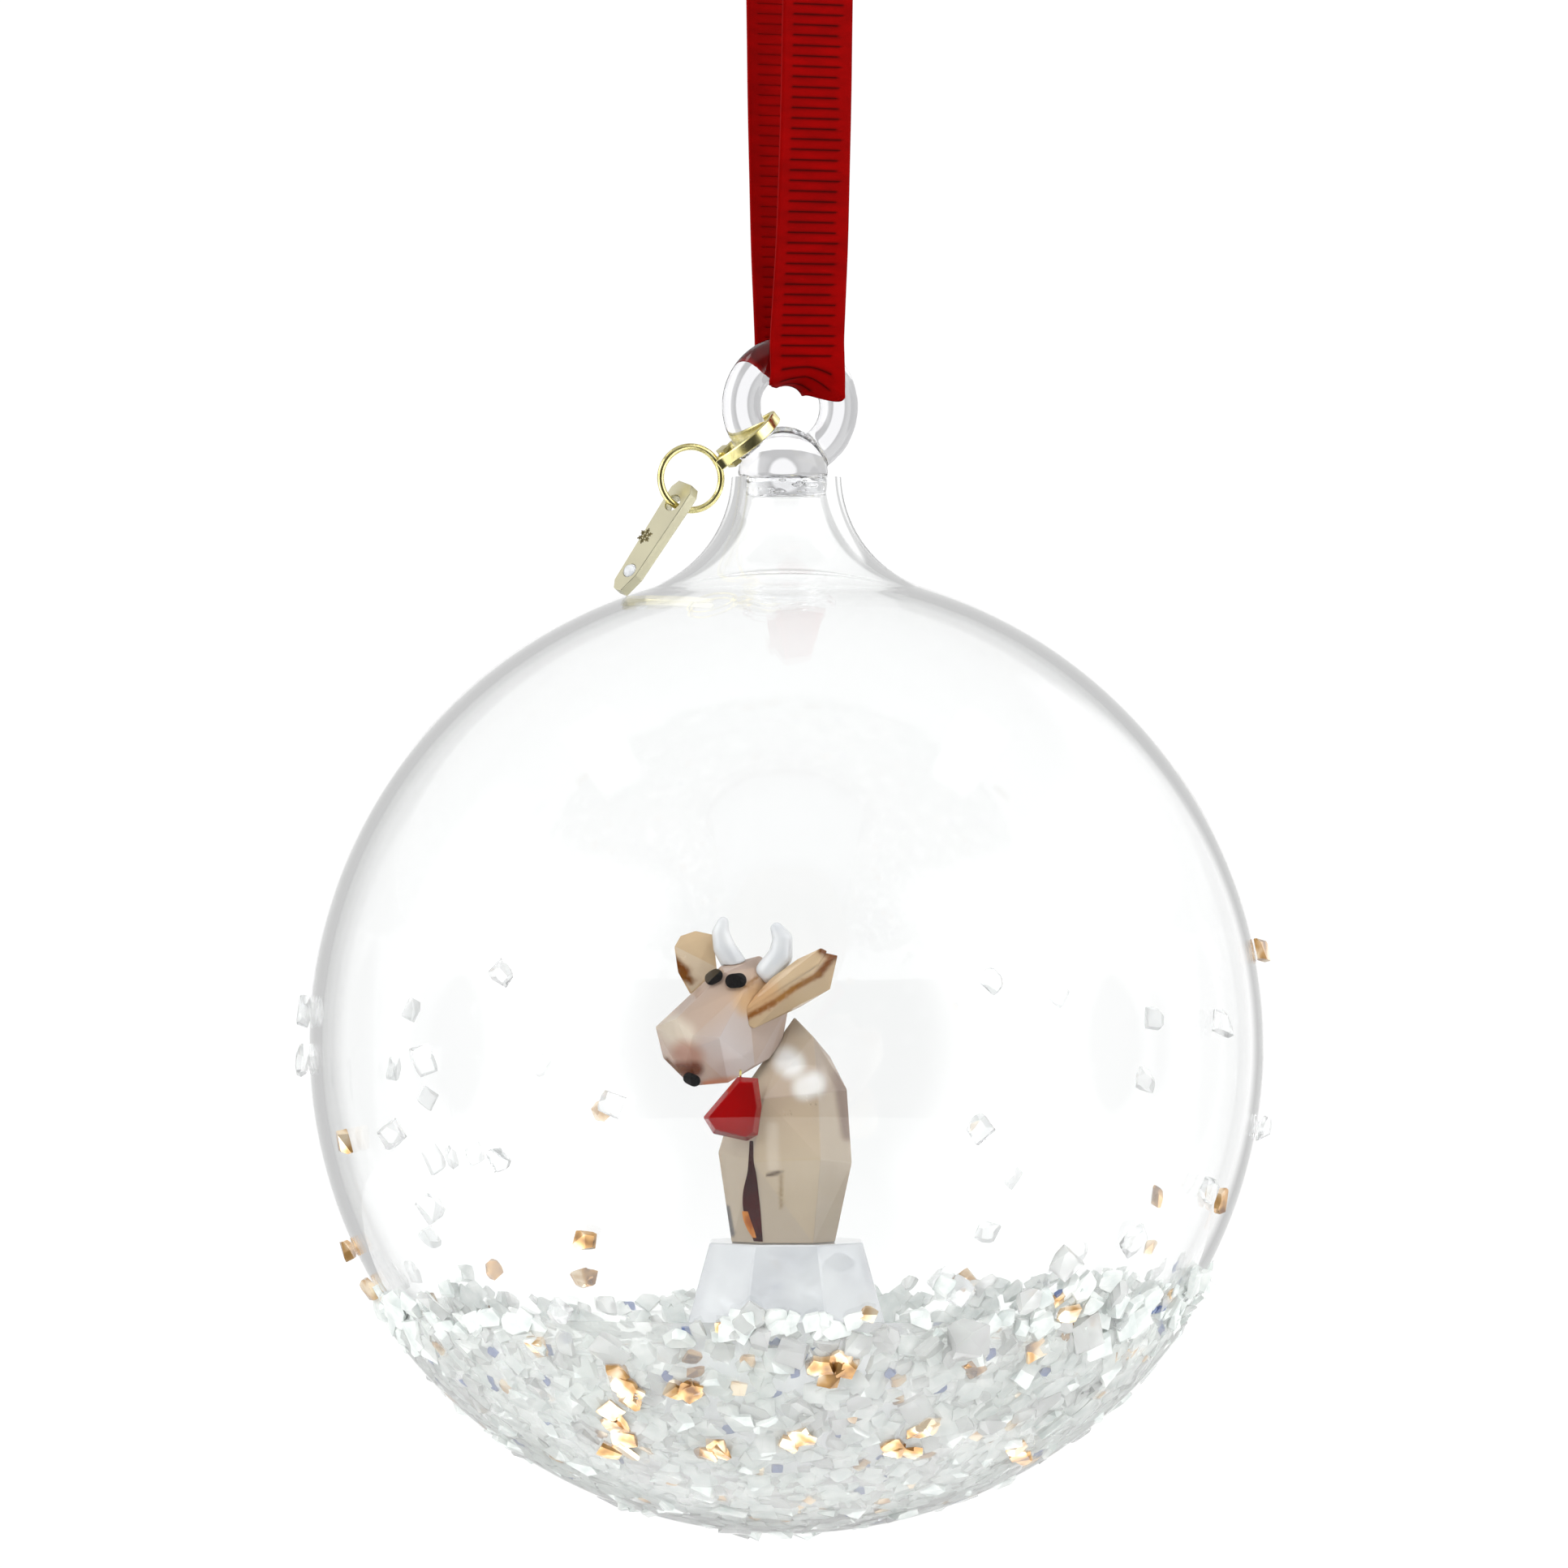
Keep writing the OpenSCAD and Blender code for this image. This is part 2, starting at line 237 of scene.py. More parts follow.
def bump(tree, shader, height, strength, distance):
    node = add_node(tree, "ShaderNodeBump")
    node.inputs["Strength"].default_value = strength
    node.inputs["Distance"].default_value = distance
    tree.links.new(height, node.inputs["Height"])
    tree.links.new(node.outputs["Normal"], shader.inputs["Normal"])
    return node


# ---- Materials ----

def clear_glass(name, waviness, tint=(0.985, 0.992, 0.99), density=1.5, ripple=60):
    """Clear glass with the slow ripples of hand work in its surface."""
    material, tree, shader = new_material(name, tint, 0.0, IOR=density, Transmission_Weight=1.0)
    ripples = noise(tree, ripple, 2)
    colour_by(tree, ripples, [(0.3, tint), (0.7, [0.5 * (t + 1) for t in tint])], shader)
    bump(tree, shader, ripples.outputs["Fac"], waviness, 0.2 * MM)
    return material


def cut_crystal(name, deep, light, milkiness=0.0, scale=220, painted=False, density=1.54):
    """Polished crystal whose tint drifts through the stone. A painted stone carries the colours painted
    on its facets, its own tones and some painted light, in its tint attribute."""
    material, tree, shader = new_material(name, light, 0.02, IOR=density,
                                          Transmission_Weight=1.0 - milkiness)
    drift = noise(tree, scale, 2)
    colour = ramp(tree, drift.outputs["Fac"], [(0.3, deep), (0.7, light)]).outputs["Color"]
    if painted:
        facets = add_node(tree, "ShaderNodeAttribute", attribute_name="tint")
        colour = multiply(tree, facets.outputs["Color"], colour)
    tree.links.new(colour, shader.inputs["Base Color"])
    return material


def opal():
    """Milky white stone with faint grey clouds."""
    material, tree, shader = new_material("white_opal", (0.93, 0.94, 0.96), 0.08, IOR=1.5,
                                          Transmission_Weight=0.1, Coat_Weight=0.6)
    colour_by(tree, noise(tree, 500, 3), [(0.3, (0.66, 0.68, 0.71)), (0.7, (0.78, 0.79, 0.80))], shader)
    return material


def jet():
    """Black crystal with a faint grey depth."""
    material, tree, shader = new_material("jet_crystal", (0.008, 0.007, 0.008), 0.05, IOR=1.22)
    colour_by(tree, noise(tree, 900, 2), [(0.4, (0.002,) * 3), (0.8, (0.012, 0.01, 0.01))], shader)
    return material


def pale_gold(name="pale_gold", light=shown(0.95, 0.91, 0.66), deep=shown(0.80, 0.73, 0.42)):
    """Bright pale gold plate with fine polishing marks and slight tarnish."""
    material, tree, shader = new_material(name, light, 0.16, Metallic=1.0)
    colour_by(tree, noise(tree, 700, 4), [(0.25, deep), (0.6, light)], shader)
    marks = noise(tree, 2500, 2, stretch=(1, 1, 0.15))
    colour_by(tree, marks, [(0.3, (0.12,) * 3), (0.75, (0.32,) * 3)], shader, "Roughness")
    bump(tree, shader, marks.outputs["Fac"], 0.15, 0.01 * MM)
    return material


def satin_gold():
    """The tag's plate: a greyer gold with an even satin face."""
    material, tree, shader = new_material("satin_gold", shown(0.80, 0.78, 0.67), 0.3, Metallic=1.0)
    colour_by(tree, noise(tree, 160, 2), [(0.3, shown(0.77, 0.75, 0.65)),
                                          (0.7, shown(0.84, 0.82, 0.70))], shader)
    grain = noise(tree, 6000, 1, stretch=(1, 1, 0.1))
    bump(tree, shader, grain.outputs["Fac"], 0.05, 0.004 * MM)
    return material


def gold_crystal():
    """Chips with a gold back, some paler and some a deep amber."""
    material, tree, shader = new_material("gold_chips", (0.8, 0.55, 0.27), 0.08, Metallic=0.6,
                                          Coat_Weight=0.7)
    colour_by(tree, noise(tree, 450, 2), [(0.3, shown(0.45, 0.29, 0.10)),
                                          (0.45, shown(0.80, 0.62, 0.38)),
                                          (0.6, shown(1.0, 0.92, 0.80))], shader)
    return material


def grosgrain():
    """Red ribbon: raised ribs with painted shade in the grooves between them, and smooth satin selvedges.
    """
    material, tree, shader = new_material("red_grosgrain", (0.30, 0.0, 0.0), 0.75,
                                          Specular_IOR_Level=0.04, Sheen_Weight=0.05)
    shader.inputs["Sheen Tint"].default_value = (0.9, 0.02, 0.02, 1)
    coordinates = add_node(tree, "ShaderNodeUVMap", uv_map="UVMap")
    # painted shade: the red darkens into the grooves between the ribs
    groove_shade = add_node(tree, "ShaderNodeAttribute", attribute_name="groove_shade")
    shade = ramp(tree, groove_shade.outputs["Fac"],
                 [(0.0, (0.215, 0.0, 0.0)), (0.5, (0.15, 0.0, 0.0)), (1.0, (0.03, 0.0, 0.0))])
    mottle = noise(tree, 900, 4, stretch=(0.4, 1, 1))
    tone = ramp(tree, mottle.outputs["Fac"], [(0.3, (0.82,) * 3), (0.7, (1.08,) * 3)])
    colour = multiply(tree, shade.outputs["Color"], tone.outputs["Color"])
    tree.links.new(colour, shader.inputs["Base Color"])
    threads = add_node(tree, "ShaderNodeTexWave", bands_direction="X")
    threads.inputs["Scale"].default_value = 42
    threads.inputs["Distortion"].default_value = 0.6
    tree.links.new(coordinates.outputs["UV"], threads.inputs["Vector"])
    bump(tree, shader, threads.outputs["Fac"], 0.35, 0.02 * MM)
    return material


def floor_paint():
    """The floor's pale paint, a little uneven."""
    material, tree, shader = new_material("pale_floor", (0.9, 0.9, 0.9), 0.7)
    colour_by(tree, noise(tree, 40, 3), [(0.3, (0.88,) * 3), (0.7, (0.92,) * 3)], shader)
    return material


# ---- Camera ----

CAMERA_DISTANCE = 0.7
CAMERA_RISE = 21.8 * MM  # above the ball's centre
CAMERA_SIDE = -0.19 * MM
VIEW_WIDTH = 131.5 * MM  # how much the view spans at the ball
SENSOR = 36


def make_camera():
    data = bpy.data.cameras.new("camera")
    data.sensor_width = SENSOR
    data.lens = SENSOR * CAMERA_DISTANCE / VIEW_WIDTH
    data.clip_start, data.clip_end = 0.01, 20
    camera = new_object("camera", data)
    camera.location = BALL - CAMERA_DISTANCE * AWAY + CAMERA_SIDE * RIGHT + CAMERA_RISE * Z
    camera.rotation_euler = (math.radians(90), 0, SHOWN_TURN)
    bpy.context.scene.camera = camera


# ---- Ribbon ----

RIBBON_W = 6.35 * MM
RIBBON_T = 0.35 * MM
RIB_PITCH = 0.86 * MM
SELVEDGE = 0.7 * MM
RIB_STEPS = 10  # rows of faces from one rib to the next
CROWN_R = 5.175 * MM
CROWN_Z = -5 * MM  # the height of the crown's centre
ROUND_STEP = 7.5  # degrees from point to point round the bight and the crown
BIGHT_R = 2.15 * MM
BIGHT_HALF = math.radians(44)
HUNG_OFF = 1.15 * MM  # the ribbon hangs a little to one side of the ring's middle
LEFT_DIP = 0.8 * MM  # how far the front strand's corners reach down past its middle
RIGHT_DIP = 2.2 * MM
# The front strand from the ring up, as (y, z) in millimetres
STRAND = [(-2.15, -39.5), (-2.1, -38), (-2.5, -35.5), (-3.4, -30), (-4, -24),
          (-4.5, -18), (-4.8, -12), (-5, -8), (-5.175, -5)]


def spline(points, per_span):
    """A smooth line through the points, by Catmull and Rom's rule."""
    ends = [2 * points[0] - points[1], *points, 2 * points[-1] - points[-2]]
    line = []
    for a, b, c, d in zip(ends, ends[1:], ends[2:], ends[3:]):
        for i in range(per_span):
            t = i / per_span
            line.append(0.5 * (2 * b + (c - a) * t + (2 * a - 5 * b + 4 * c - d) * t * t
                               + (3 * b - a - 3 * c + d) * t ** 3))
    return line + [points[-1]]


def ribbon_route():
    """The ribbon's middle line, from under the ring's rod, up in front, over and down behind."""
    strand = spline([Vector((y * MM, z * MM)) for y, z in STRAND], 12)
    rod = Vector((0, STRAND[0][1] * MM))
    bight = [rod + BIGHT_R * Vector((-math.sin(a), -math.cos(a)))
             for a in [math.radians(ROUND_STEP * i) for i in range(12)]]
    crown = [Vector((-CROWN_R * math.cos(a), CROWN_Z + CROWN_R * math.sin(a)))
             for a in [math.radians(ROUND_STEP * i) for i in range(1, 13)]]
    half = bight + strand + crown
    other = [Vector((-p.x, p.y)) for p in reversed(half[:-1])]
    return half + other


def evenly(line, count):
    """The line's points again, at even steps along it, and its length."""
    reach = [0]
    for a, b in zip(line, line[1:]):
        reach.append(reach[-1] + (b - a).length)
    result, k = [], 0
    for i in range(count + 1):
        want = reach[-1] * i / count
        while k < len(line) - 2 and reach[k + 1] < want:
            k += 1
        share = (want - reach[k]) / max(reach[k + 1] - reach[k], 1e-12)
        result.append(line[k].lerp(line[k + 1], min(max(share, 0), 1)))
    return result, reach[-1]


def eased(share):
    """From 0 to 1, starting and ending slowly."""
    share = min(max(share, 0), 1)
    return share * share * (3 - 2 * share)


def ribbon_point(route, i, across, lift):
    """A place on the ribbon: i along the route, across its width, lift off its middle line.
    The strands are flat, with the front one's lower corners dipped past the rod; under the rod
    the ribbon is cupped along the ring."""
    p = route[i]
    ahead = route[min(i + 1, len(route) - 1)] - route[max(i - 1, 0)]
    normal = Vector((ahead.y, -ahead.x)).normalized() if ahead.length else Vector((0, 1))
    p = p + normal * lift
    above = (p.y - STRAND[0][1] * MM) / MM
    twist = math.radians(-9 + 16 * math.exp(-max(above, 0) / 9))
    x = across * math.cos(twist)
    y = p.x - across * math.sin(twist) * min(abs(p.x) / MM, 1) * 0.8
    flat = Vector((HUNG_OFF + x, y, p.y))
    if above >= 0:
        return flat
    tuck = 1.5
    if p.x < 0:
        edge = 2 * across / RIBBON_W
        dip = (RIGHT_DIP if edge > 0 else LEFT_DIP) * abs(edge) ** 1.6
        low = eased(-above / 1.3)
        flat.z -= dip * low
        flat.y *= 1 + 0.25 * abs(edge) * low
        tuck = 1.25
    under = eased(tuck - 1.5 * abs(p.x) / BIGHT_R)
    cup = 2 * BIGHT_HALF * across / RIBBON_W + HUNG_OFF / RING_R
    reach = RING_R + p.y - ROD_TOP.z
    cupped = Vector((reach * math.sin(cup), p.x, RING.z + reach * math.cos(cup)))
    return flat.lerp(cupped, under)


def thickened(band):
    """The band with its thickness, half of it to each side."""
    thick = band.modifiers.new("thickness", "SOLIDIFY")
    thick.thickness = RIBBON_T
    thick.offset = 0
    return baked(band)


def make_ribbon(material):
    """One closed woven band, with its ribs raised between the two selvedges."""
    line, length = evenly(ribbon_route(), 2000)
    ribs = round(length / RIB_PITCH)
    steps = ribs * RIB_STEPS
    route, length = evenly(line, steps)
    bm = bmesh.new()
    rng = random.Random(3)
    ragged = [rng.uniform(-0.1, 0.45) * MM for _ in range(53)]  # where each rib stops on the right
    bmesh.ops.create_grid(bm, x_segments=26, y_segments=steps, size=0.5, calc_uvs=True)
    bm.verts.ensure_lookup_table()
    groove_shade = bm.verts.layers.float.new("groove_shade")
    uv = bm.loops.layers.uv.verify()
    for face in bm.faces:
        for loop in face.loops:
            x, y = loop.vert.co.xy
            loop[uv].uv = (x + 0.5, (y + 0.5) * length / RIBBON_W)
    for v in bm.verts:
        across = v.co.x * RIBBON_W
        i = round((v.co.y + 0.5) * steps)
        inside = RIBBON_W / 2 - SELVEDGE - abs(across)
        rib = int(ribs * i / steps)
        if across > 0:
            inside -= ragged[rib % len(ragged)]
        woven = min(max(inside / (0.25 * MM), 0), 1)
        phase = abs(math.sin(math.pi * ribs * i / steps))
        # painted shade, darkest in the grooves between the ribs
        v[groove_shade] = woven * (1 - phase) ** 2.5
        lift = woven * 0.07 * MM * (phase ** 0.6 - 0.6)
        v.co = ribbon_point(route, i, across, lift)
    bmesh.ops.remove_doubles(bm, verts=bm.verts, dist=2e-6)
    ribbon = thickened(finish_mesh(bm, "woven_ribbon", crease=80))
    ribbon.data.materials.clear()
    ribbon.data.materials.append(material)
    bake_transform(ribbon)
    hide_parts("ribbon_loop", "ribbon_bight")
    path, length = evenly(line, 120)


def make_ribbon_lap(material):
    """The overlap behind the crown that closes the loop: a short second layer."""
    radius = CROWN_R + RIBBON_T + 0.03 * MM
    line = [Vector((radius * math.cos(a), CROWN_Z + radius * math.sin(a)))
            for a in [math.radians(60 - 5 * i) for i in range(13)]]
    line += [Vector((radius - 0.1 * MM, -z * MM)) for z in (6, 7, 8)]
    steps = 90
    route, length = evenly(line, steps)
    bm = bmesh.new()
    bmesh.ops.create_grid(bm, x_segments=22, y_segments=steps, size=0.5, calc_uvs=True)
    groove_shade = bm.verts.layers.float.new("groove_shade")
    for v in bm.verts:
        across = v.co.x * RIBBON_W
        i = round((v.co.y + 0.5) * steps)
        woven = min(max((RIBBON_W / 2 - SELVEDGE - abs(across)) / (0.25 * MM), 0), 1)
        phase = abs(math.sin(math.pi * length / RIB_PITCH * i / steps))
        # painted shade, darkest in the grooves between the ribs
        v[groove_shade] = woven * (1 - phase) ** 3
        p = route[i]
        v.co = (across, p.x + woven * 0.04 * MM * phase, p.y)
    lap = thickened(finish_mesh(bm, "ribbon_overlap", crease=80))
    place(lap, "ribbon", "red_grosgrain", material, "ribbon_lap")


# ---- Glass ----

OPENING_R = 15 * MM  # the hole the figure goes in through
CAP_R = 14.85 * MM  # the piece that closes it
NECK_R = 4.6 * MM
NECK_CURVE = 10 * MM  # how roundly the ball runs up into the neck
PLUG_R = 3.42 * MM


def make_blown_glass(material):
    """Ball and neck in one thin wall, open at the bottom where the figure goes in."""
    curve = NECK_CURVE
    cx = NECK_R + curve
    cz = math.sqrt((BALL_R + curve) ** 2 - cx ** 2)
    join = math.degrees(math.atan2(cz, cx))
    top = math.degrees(math.asin((RIM_Z - BALL.z - cz) / curve))
    low = -90 + math.degrees(math.asin(OPENING_R / BALL_R))
    outer = arc(cx, cz, curve, 180 - top, 180 + join, 18) + arc(0, 0, BALL_R, join, low, 88)[1:]
    inner = arc(0, 0, BALL_R - BALL_WALL, low, join, 88)
    inner += arc(cx, cz, curve + BALL_WALL, 180 + join, 180 - top, 18)[1:]
    ball = finish_mesh(lathe(outer + inner, 192, centre=BALL), "blown_ball")
    ball.visible_shadow = False  # clear walls throw no shade on the figure
    place(ball, "ornament", "blown_glass", material, "glass_ball", "glass_neck")


def make_base_cap(material):
    """The round of glass that closes the opening."""
    edge = -90 + math.degrees(math.asin(CAP_R / BALL_R))
    outer = arc(0, 0, BALL_R, -90, edge, 16)
    inner = arc(0, 0, BALL_R - BALL_WALL, edge, -90, 16)
    cap = finish_mesh(lathe(outer + inner, 96, closed=False, centre=BALL), "glued_cap")
    place(cap, "ornament", "blown_glass", material, "base_cap")


def make_hanging_ring(material):
    """Ring and foot melted into one, with the join between them rounded."""
    bm = bmesh.new()
    bmesh.ops.create_circle(bm, segments=32, radius=ROD_R + 0.1 * MM)
    bmesh.ops.translate(bm, verts=bm.verts, vec=(RING_R, 0, 0))
    bmesh.ops.spin(bm, geom=bm.verts[:] + bm.edges[:], axis=Y, cent=(0, 0, 0), angle=2 * math.pi,
                   steps=96, use_merge=True)
    outwards(bm)
    bmesh.ops.translate(bm, verts=bm.verts, vec=RING + 0.35 * MM * X)
    dome = bmesh.ops.create_uvsphere(bm, u_segments=64, v_segments=32, radius=3.8 * MM)
    bmesh.ops.scale(bm, verts=dome["verts"], vec=(1, 1, 1.1))
    bmesh.ops.translate(bm, verts=dome["verts"], vec=(-0.3 * MM, 0, RIM_Z + 0.1 * MM))
    cut = bmesh.ops.bisect_plane(bm, geom=bm.verts[:] + bm.edges[:] + bm.faces[:], dist=1e-6,
                                 plane_co=(0, 0, RIM_Z), plane_no=-Z, clear_outer=True)["geom_cut"]
    bmesh.ops.edgeloop_fill(bm, edges=[e for e in cut if isinstance(e, bmesh.types.BMEdge)])
    ring = melted(finish_mesh(bm, "lampworked_ring"), 0.13 * MM, 30)
    place(ring, "ornament", "solid_glass", material, "hanging_ring")


def make_neck_plug(material, air):
    """The glass that seals the neck under the ring, with a few trapped bubbles."""
    r, top, low = PLUG_R, RIM_Z - 0.04 * MM, RIM_Z - 1.75 * MM
    outline = [(0, low), (r * 0.8, low - 0.1 * MM), (r * 0.96, low + 0.1 * MM), (r, low + 0.35 * MM),
               (r, top - 0.2 * MM), (r * 0.95, top), (0, top)]
    plug = finish_mesh(lathe(outline, 64, closed=False), "neck_plug")
    place(plug, "ornament", "solid_glass", material, "neck_weld")
    rng = random.Random(21)
    bm = bmesh.new()
    for _ in range(26):
        turn = rng.uniform(0, 2 * math.pi)
        radius = rng.uniform(0.12, 0.26) * MM
        out = r - radius - rng.uniform(0.05, 0.5) * MM
        ball = bmesh.ops.create_icosphere(bm, subdivisions=2, radius=radius)
        bmesh.ops.scale(bm, verts=ball["verts"], vec=(1.3, 1.3, 0.7))
        middle = (out * math.cos(turn), out * math.sin(turn), rng.uniform(low + 0.5 * MM, top - 0.3 * MM))
        bmesh.ops.translate(bm, verts=ball["verts"], vec=middle)
    place(finish_mesh(bm, "trapped_bubbles", crease=80), "ornament", "solid_glass", air)


# ---- Charm ----

STRIP_HALF_WIDE = 0.48  # the bail's flat strip, in millimetres
STRIP_HALF_THICK = 0.22
# Half the bail's loop, as (along, out) in millimetres, from its far end to the sleeve
BAIL_HALF = [(-2.95, 0), (-2.8, 0.5), (-2.2, 1.3), (-1.2, 2.05), (0, 2.35), (1.2, 2.0), (2.3, 1.15),
             (3.0, 0.5), (3.6, 0.28)]
BAR_WIDE = 0.11 * MM  # the snowflake's bars
BAR_THICK = 0.05 * MM
RAY_BACK = 30 * MM  # how far before the ball's middle the rays that find faces start


def make_bail(material):
    """A flat strip bent to a long loop round the ring's limb, its ends closed in the sleeve."""
    along = (EYE - LIMB).normalized()
    wide = along.cross(Y)
    points = [Vector((a * MM, -b * MM)) for a, b in reversed(BAIL_HALF)]
    points += [Vector((a * MM, b * MM)) for a, b in BAIL_HALF[1:]]
    line = spline(points, 6)
    w, t = STRIP_HALF_WIDE, STRIP_HALF_THICK
    bm = bmesh.new()
    rings = []
    for i, p in enumerate(line):
        ahead = (line[min(i + 1, len(line) - 1)] - line[max(i - 1, 0)]).normalized()
        out = Vector((ahead.y, -ahead.x))
        ring = []
        for across, lift in ((-w, -t), (w, -t), (w, t), (-w, t)):
            q = p + out * lift * MM
            ring.append(bm.verts.new(LIMB + along * q.x + Y * q.y + wide * across * MM))
        rings.append([bm.edges.new((ring[k], ring[(k + 1) % 4])) for k in range(4)])
    for a, b in zip(rings, rings[1:]):
        bmesh.ops.bridge_loops(bm, edges=a + b)
    bmesh.ops.edgeloop_fill(bm, edges=rings[0])
    bmesh.ops.edgeloop_fill(bm, edges=rings[-1])
    outwards(bm)
    bmesh.ops.bevel(bm, geom=[e for e in bm.edges if e.calc_face_angle(0) > 0.9], offset=0.08 * MM,
                    affect="EDGES", segments=1, profile=0.5, material=-1)
    place(finish_mesh(bm, "bail_loop", crease=30), "bail", "pale_gold", material, "bail_band")


def node_shape(node):
    """A copy of a CAD node's shape, to work on."""
    bm = bmesh.new()
    bm.from_mesh(nodes[node].data)
    return bm


def face_finder(node):
    """What finds where a ray meets the node's faces."""
    whole = node_shape(node)
    finder = BVHTree.FromBMesh(whole)
    whole.free()
    return finder


def front_at(finder, right, up):
    """The place on a node's front, and which way it faces there, in millimetres right and up."""
    start = BALL + (right * RIGHT + up * Z) * MM - RAY_BACK * AWAY
    return finder.ray_cast(start, AWAY)[:2]


def make_snowflake(material):
    """A small six-armed snowflake let into the face of the tag."""
    middle, face = front_at(face_finder("tag_plate"), -11.8, 42.5)
    flat = face.to_track_quat("Z", "Y").to_matrix().to_4x4()
    bm = bmesh.new()
    bars = [(0, 0, 1.5)] + [(side * 0.45, 55 * way, 0.42) for side in (-1, 1) for way in (-1, 1)]
    for arm in range(3):
        for along, lean, length in bars:
            bar = bmesh.ops.create_cube(bm, size=1)["verts"]
            shape = Matrix.Diagonal((length * MM, BAR_WIDE, BAR_THICK, 1))
            turn = Matrix.Rotation(math.radians(60 * arm + 15), 4, "Z")
            off = Matrix.Translation((along * MM, 0, 0)) @ Matrix.Rotation(math.radians(lean), 4, "Z")
            spot = Matrix.Translation(middle) @ flat @ turn @ off @ shape
            bmesh.ops.transform(bm, verts=bar, matrix=spot)
    place(finish_mesh(bm, "snowflake_mark", smooth=False), "tag", "pale_gold", material)


# ---- Glued crystals ----

MAX_TILT = 0.35  # how far a chip may lean off the ball, in radians
CHIP_SIZES = (1.1, 1.4, 1.7, 2.1)
GOLD_SIZE = 1.7 * MM
LOOSE_CLEAR_SIZE = 1.9 * MM
BED_SPOTS = 3400
BED_TOP = 72  # how far up spots are tried, in degrees from straight down
GOLDEN_TURN = 2.39996  # the turn from one spot to the next that spreads them evenly
GLUE_THICK = 0.95 * MM
GLUE_TOP = -34  # in degrees from level; the glue thins out over the last 2.5


def chip_shapes(count, seed):
    """Cut stones of unit size: a cube with its corners and edges sliced off."""
    rng = random.Random(seed)
    shapes = []
    for _ in range(count):
        bm = bmesh.new()
        bmesh.ops.create_cube(bm, size=1)
        for _ in range(rng.randint(5, 8)):
            facing = Vector([rng.uniform(-1, 1) for _ in range(3)]).normalized()
            bmesh.ops.bisect_plane(bm, geom=bm.verts[:] + bm.edges[:] + bm.faces[:], dist=1e-5,
                                   plane_co=facing * rng.uniform(0.42, 0.58), plane_no=facing,
                                   clear_outer=True)
            open_edges = [e for e in bm.edges if e.is_boundary]
            if open_edges:
                bmesh.ops.contextual_create(bm, geom=open_edges)
        bmesh.ops.recalc_face_normals(bm, faces=bm.faces)
        mesh = bpy.data.meshes.new("chip_shape")
        bm.to_mesh(mesh)
        bm.free()
        shapes.append(mesh)
    return shapes


def ball_spot(direction, size, sunk, rng):
    """Where a chip of that size is glued on the ball, turned at random."""
    up = direction.to_track_quat("Z", "Y").to_matrix().to_4x4()
    tilt = (Matrix.Rotation(rng.uniform(-MAX_TILT, MAX_TILT), 4, "X")
            @ Matrix.Rotation(rng.uniform(-MAX_TILT, MAX_TILT), 4, "Y"))
    turn = Matrix.Rotation(rng.uniform(0, 2 * math.pi), 4, "Z")
    flat = Matrix.Diagonal((size * rng.uniform(0.8, 1.3), size, size * rng.uniform(0.3, 0.55), 1))
    centre = BALL + direction * (BALL_R + sunk * size)
    return Matrix.Translation(centre) @ up @ tilt @ turn @ flat


def glue_chips(name, spots, shapes, slot, material, *stands_for):
    """One piece with a chip at each spot, the shapes taken in turn."""
    bm = bmesh.new()
    for i, spot in enumerate(spots):
        chip = shapes[i % len(shapes)].copy()
        chip.transform(spot)
        bm.from_mesh(chip)
        bpy.data.meshes.remove(chip)
    chips = finish_mesh(bm, name, smooth=False)
    return place(chips, "ornament", slot, material, *stands_for)


def seen_spot(right, up, behind=False):
    """The direction of a place on the ball, as it is seen from the shown side, in millimetres."""
    depth = math.sqrt(max(BALL_MM ** 2 - right ** 2 - up ** 2, 0))
    return (right * RIGHT + up * Z + (depth if behind else -depth) * AWAY).normalized()


def bed_edge(direction):
    """How far up the ball the bed reaches on that side, in degrees from straight down."""
    right = direction.dot(RIGHT)
    away = direction.dot(AWAY)
    wave = 1.6 * math.sin(9 * right + 2) + 1.3 * math.sin(7 * away + 11 * right)
    return 58.5 + 3.2 * right - 4.5 * max(away, 0) + wave


LOOSE_CLEAR = [(-22.4, 6.6), (-28.8, -0.4), (-31.4, -6.5), (-22.7, -8.1), (-28.2, -12.2), (-39.6, 2.8),
               (-39.9, -1.4), (-13.7, -3.5), (15.1, -5.5), (35.1, 2.3), (16.1, 6.1), (39.3, -6.8),
               (34.1, -11.3), (27.8, -15), (13.7, -18.5), (-18, -20.3), (14.5, -22.4), (27, -21.5)]
LOOSE_GOLD = [(-35.8, -7.5), (-15.9, -14.4), (39.2, 7.8), (35.3, -12.3), (-36.2, -16.9), (-34.3, -20),
              (-19.7, -23.4), (22.4, -20.6), (19.8, -23.5), (14.8, -24.7)]
BED_GOLD = [(-12.9, -25.4), (-11.9, -26.6), (-8.1, -26.4), (-13.2, -28.8), (3.1, -24.7), (4.6, -24),
            (0.8, -30.2), (8.9, -31.2), (-13.5, -31.2), (18.8, -32.2), (11, -29.5), (-6, -31.5)]

# Bigger clear stones along the bed's upper edge, with their sizes
EDGE_CLEAR = [(14.4, -22.4, 3.2), (11.4, -23.2, 2.2), (-14, -23.4, 2.4), (23.9, -22.3, 2.6),
              (-4.6, -21.5, 1.8), (-2.1, -22.1, 1.9), (-28.5, -20.5, 2.3)]


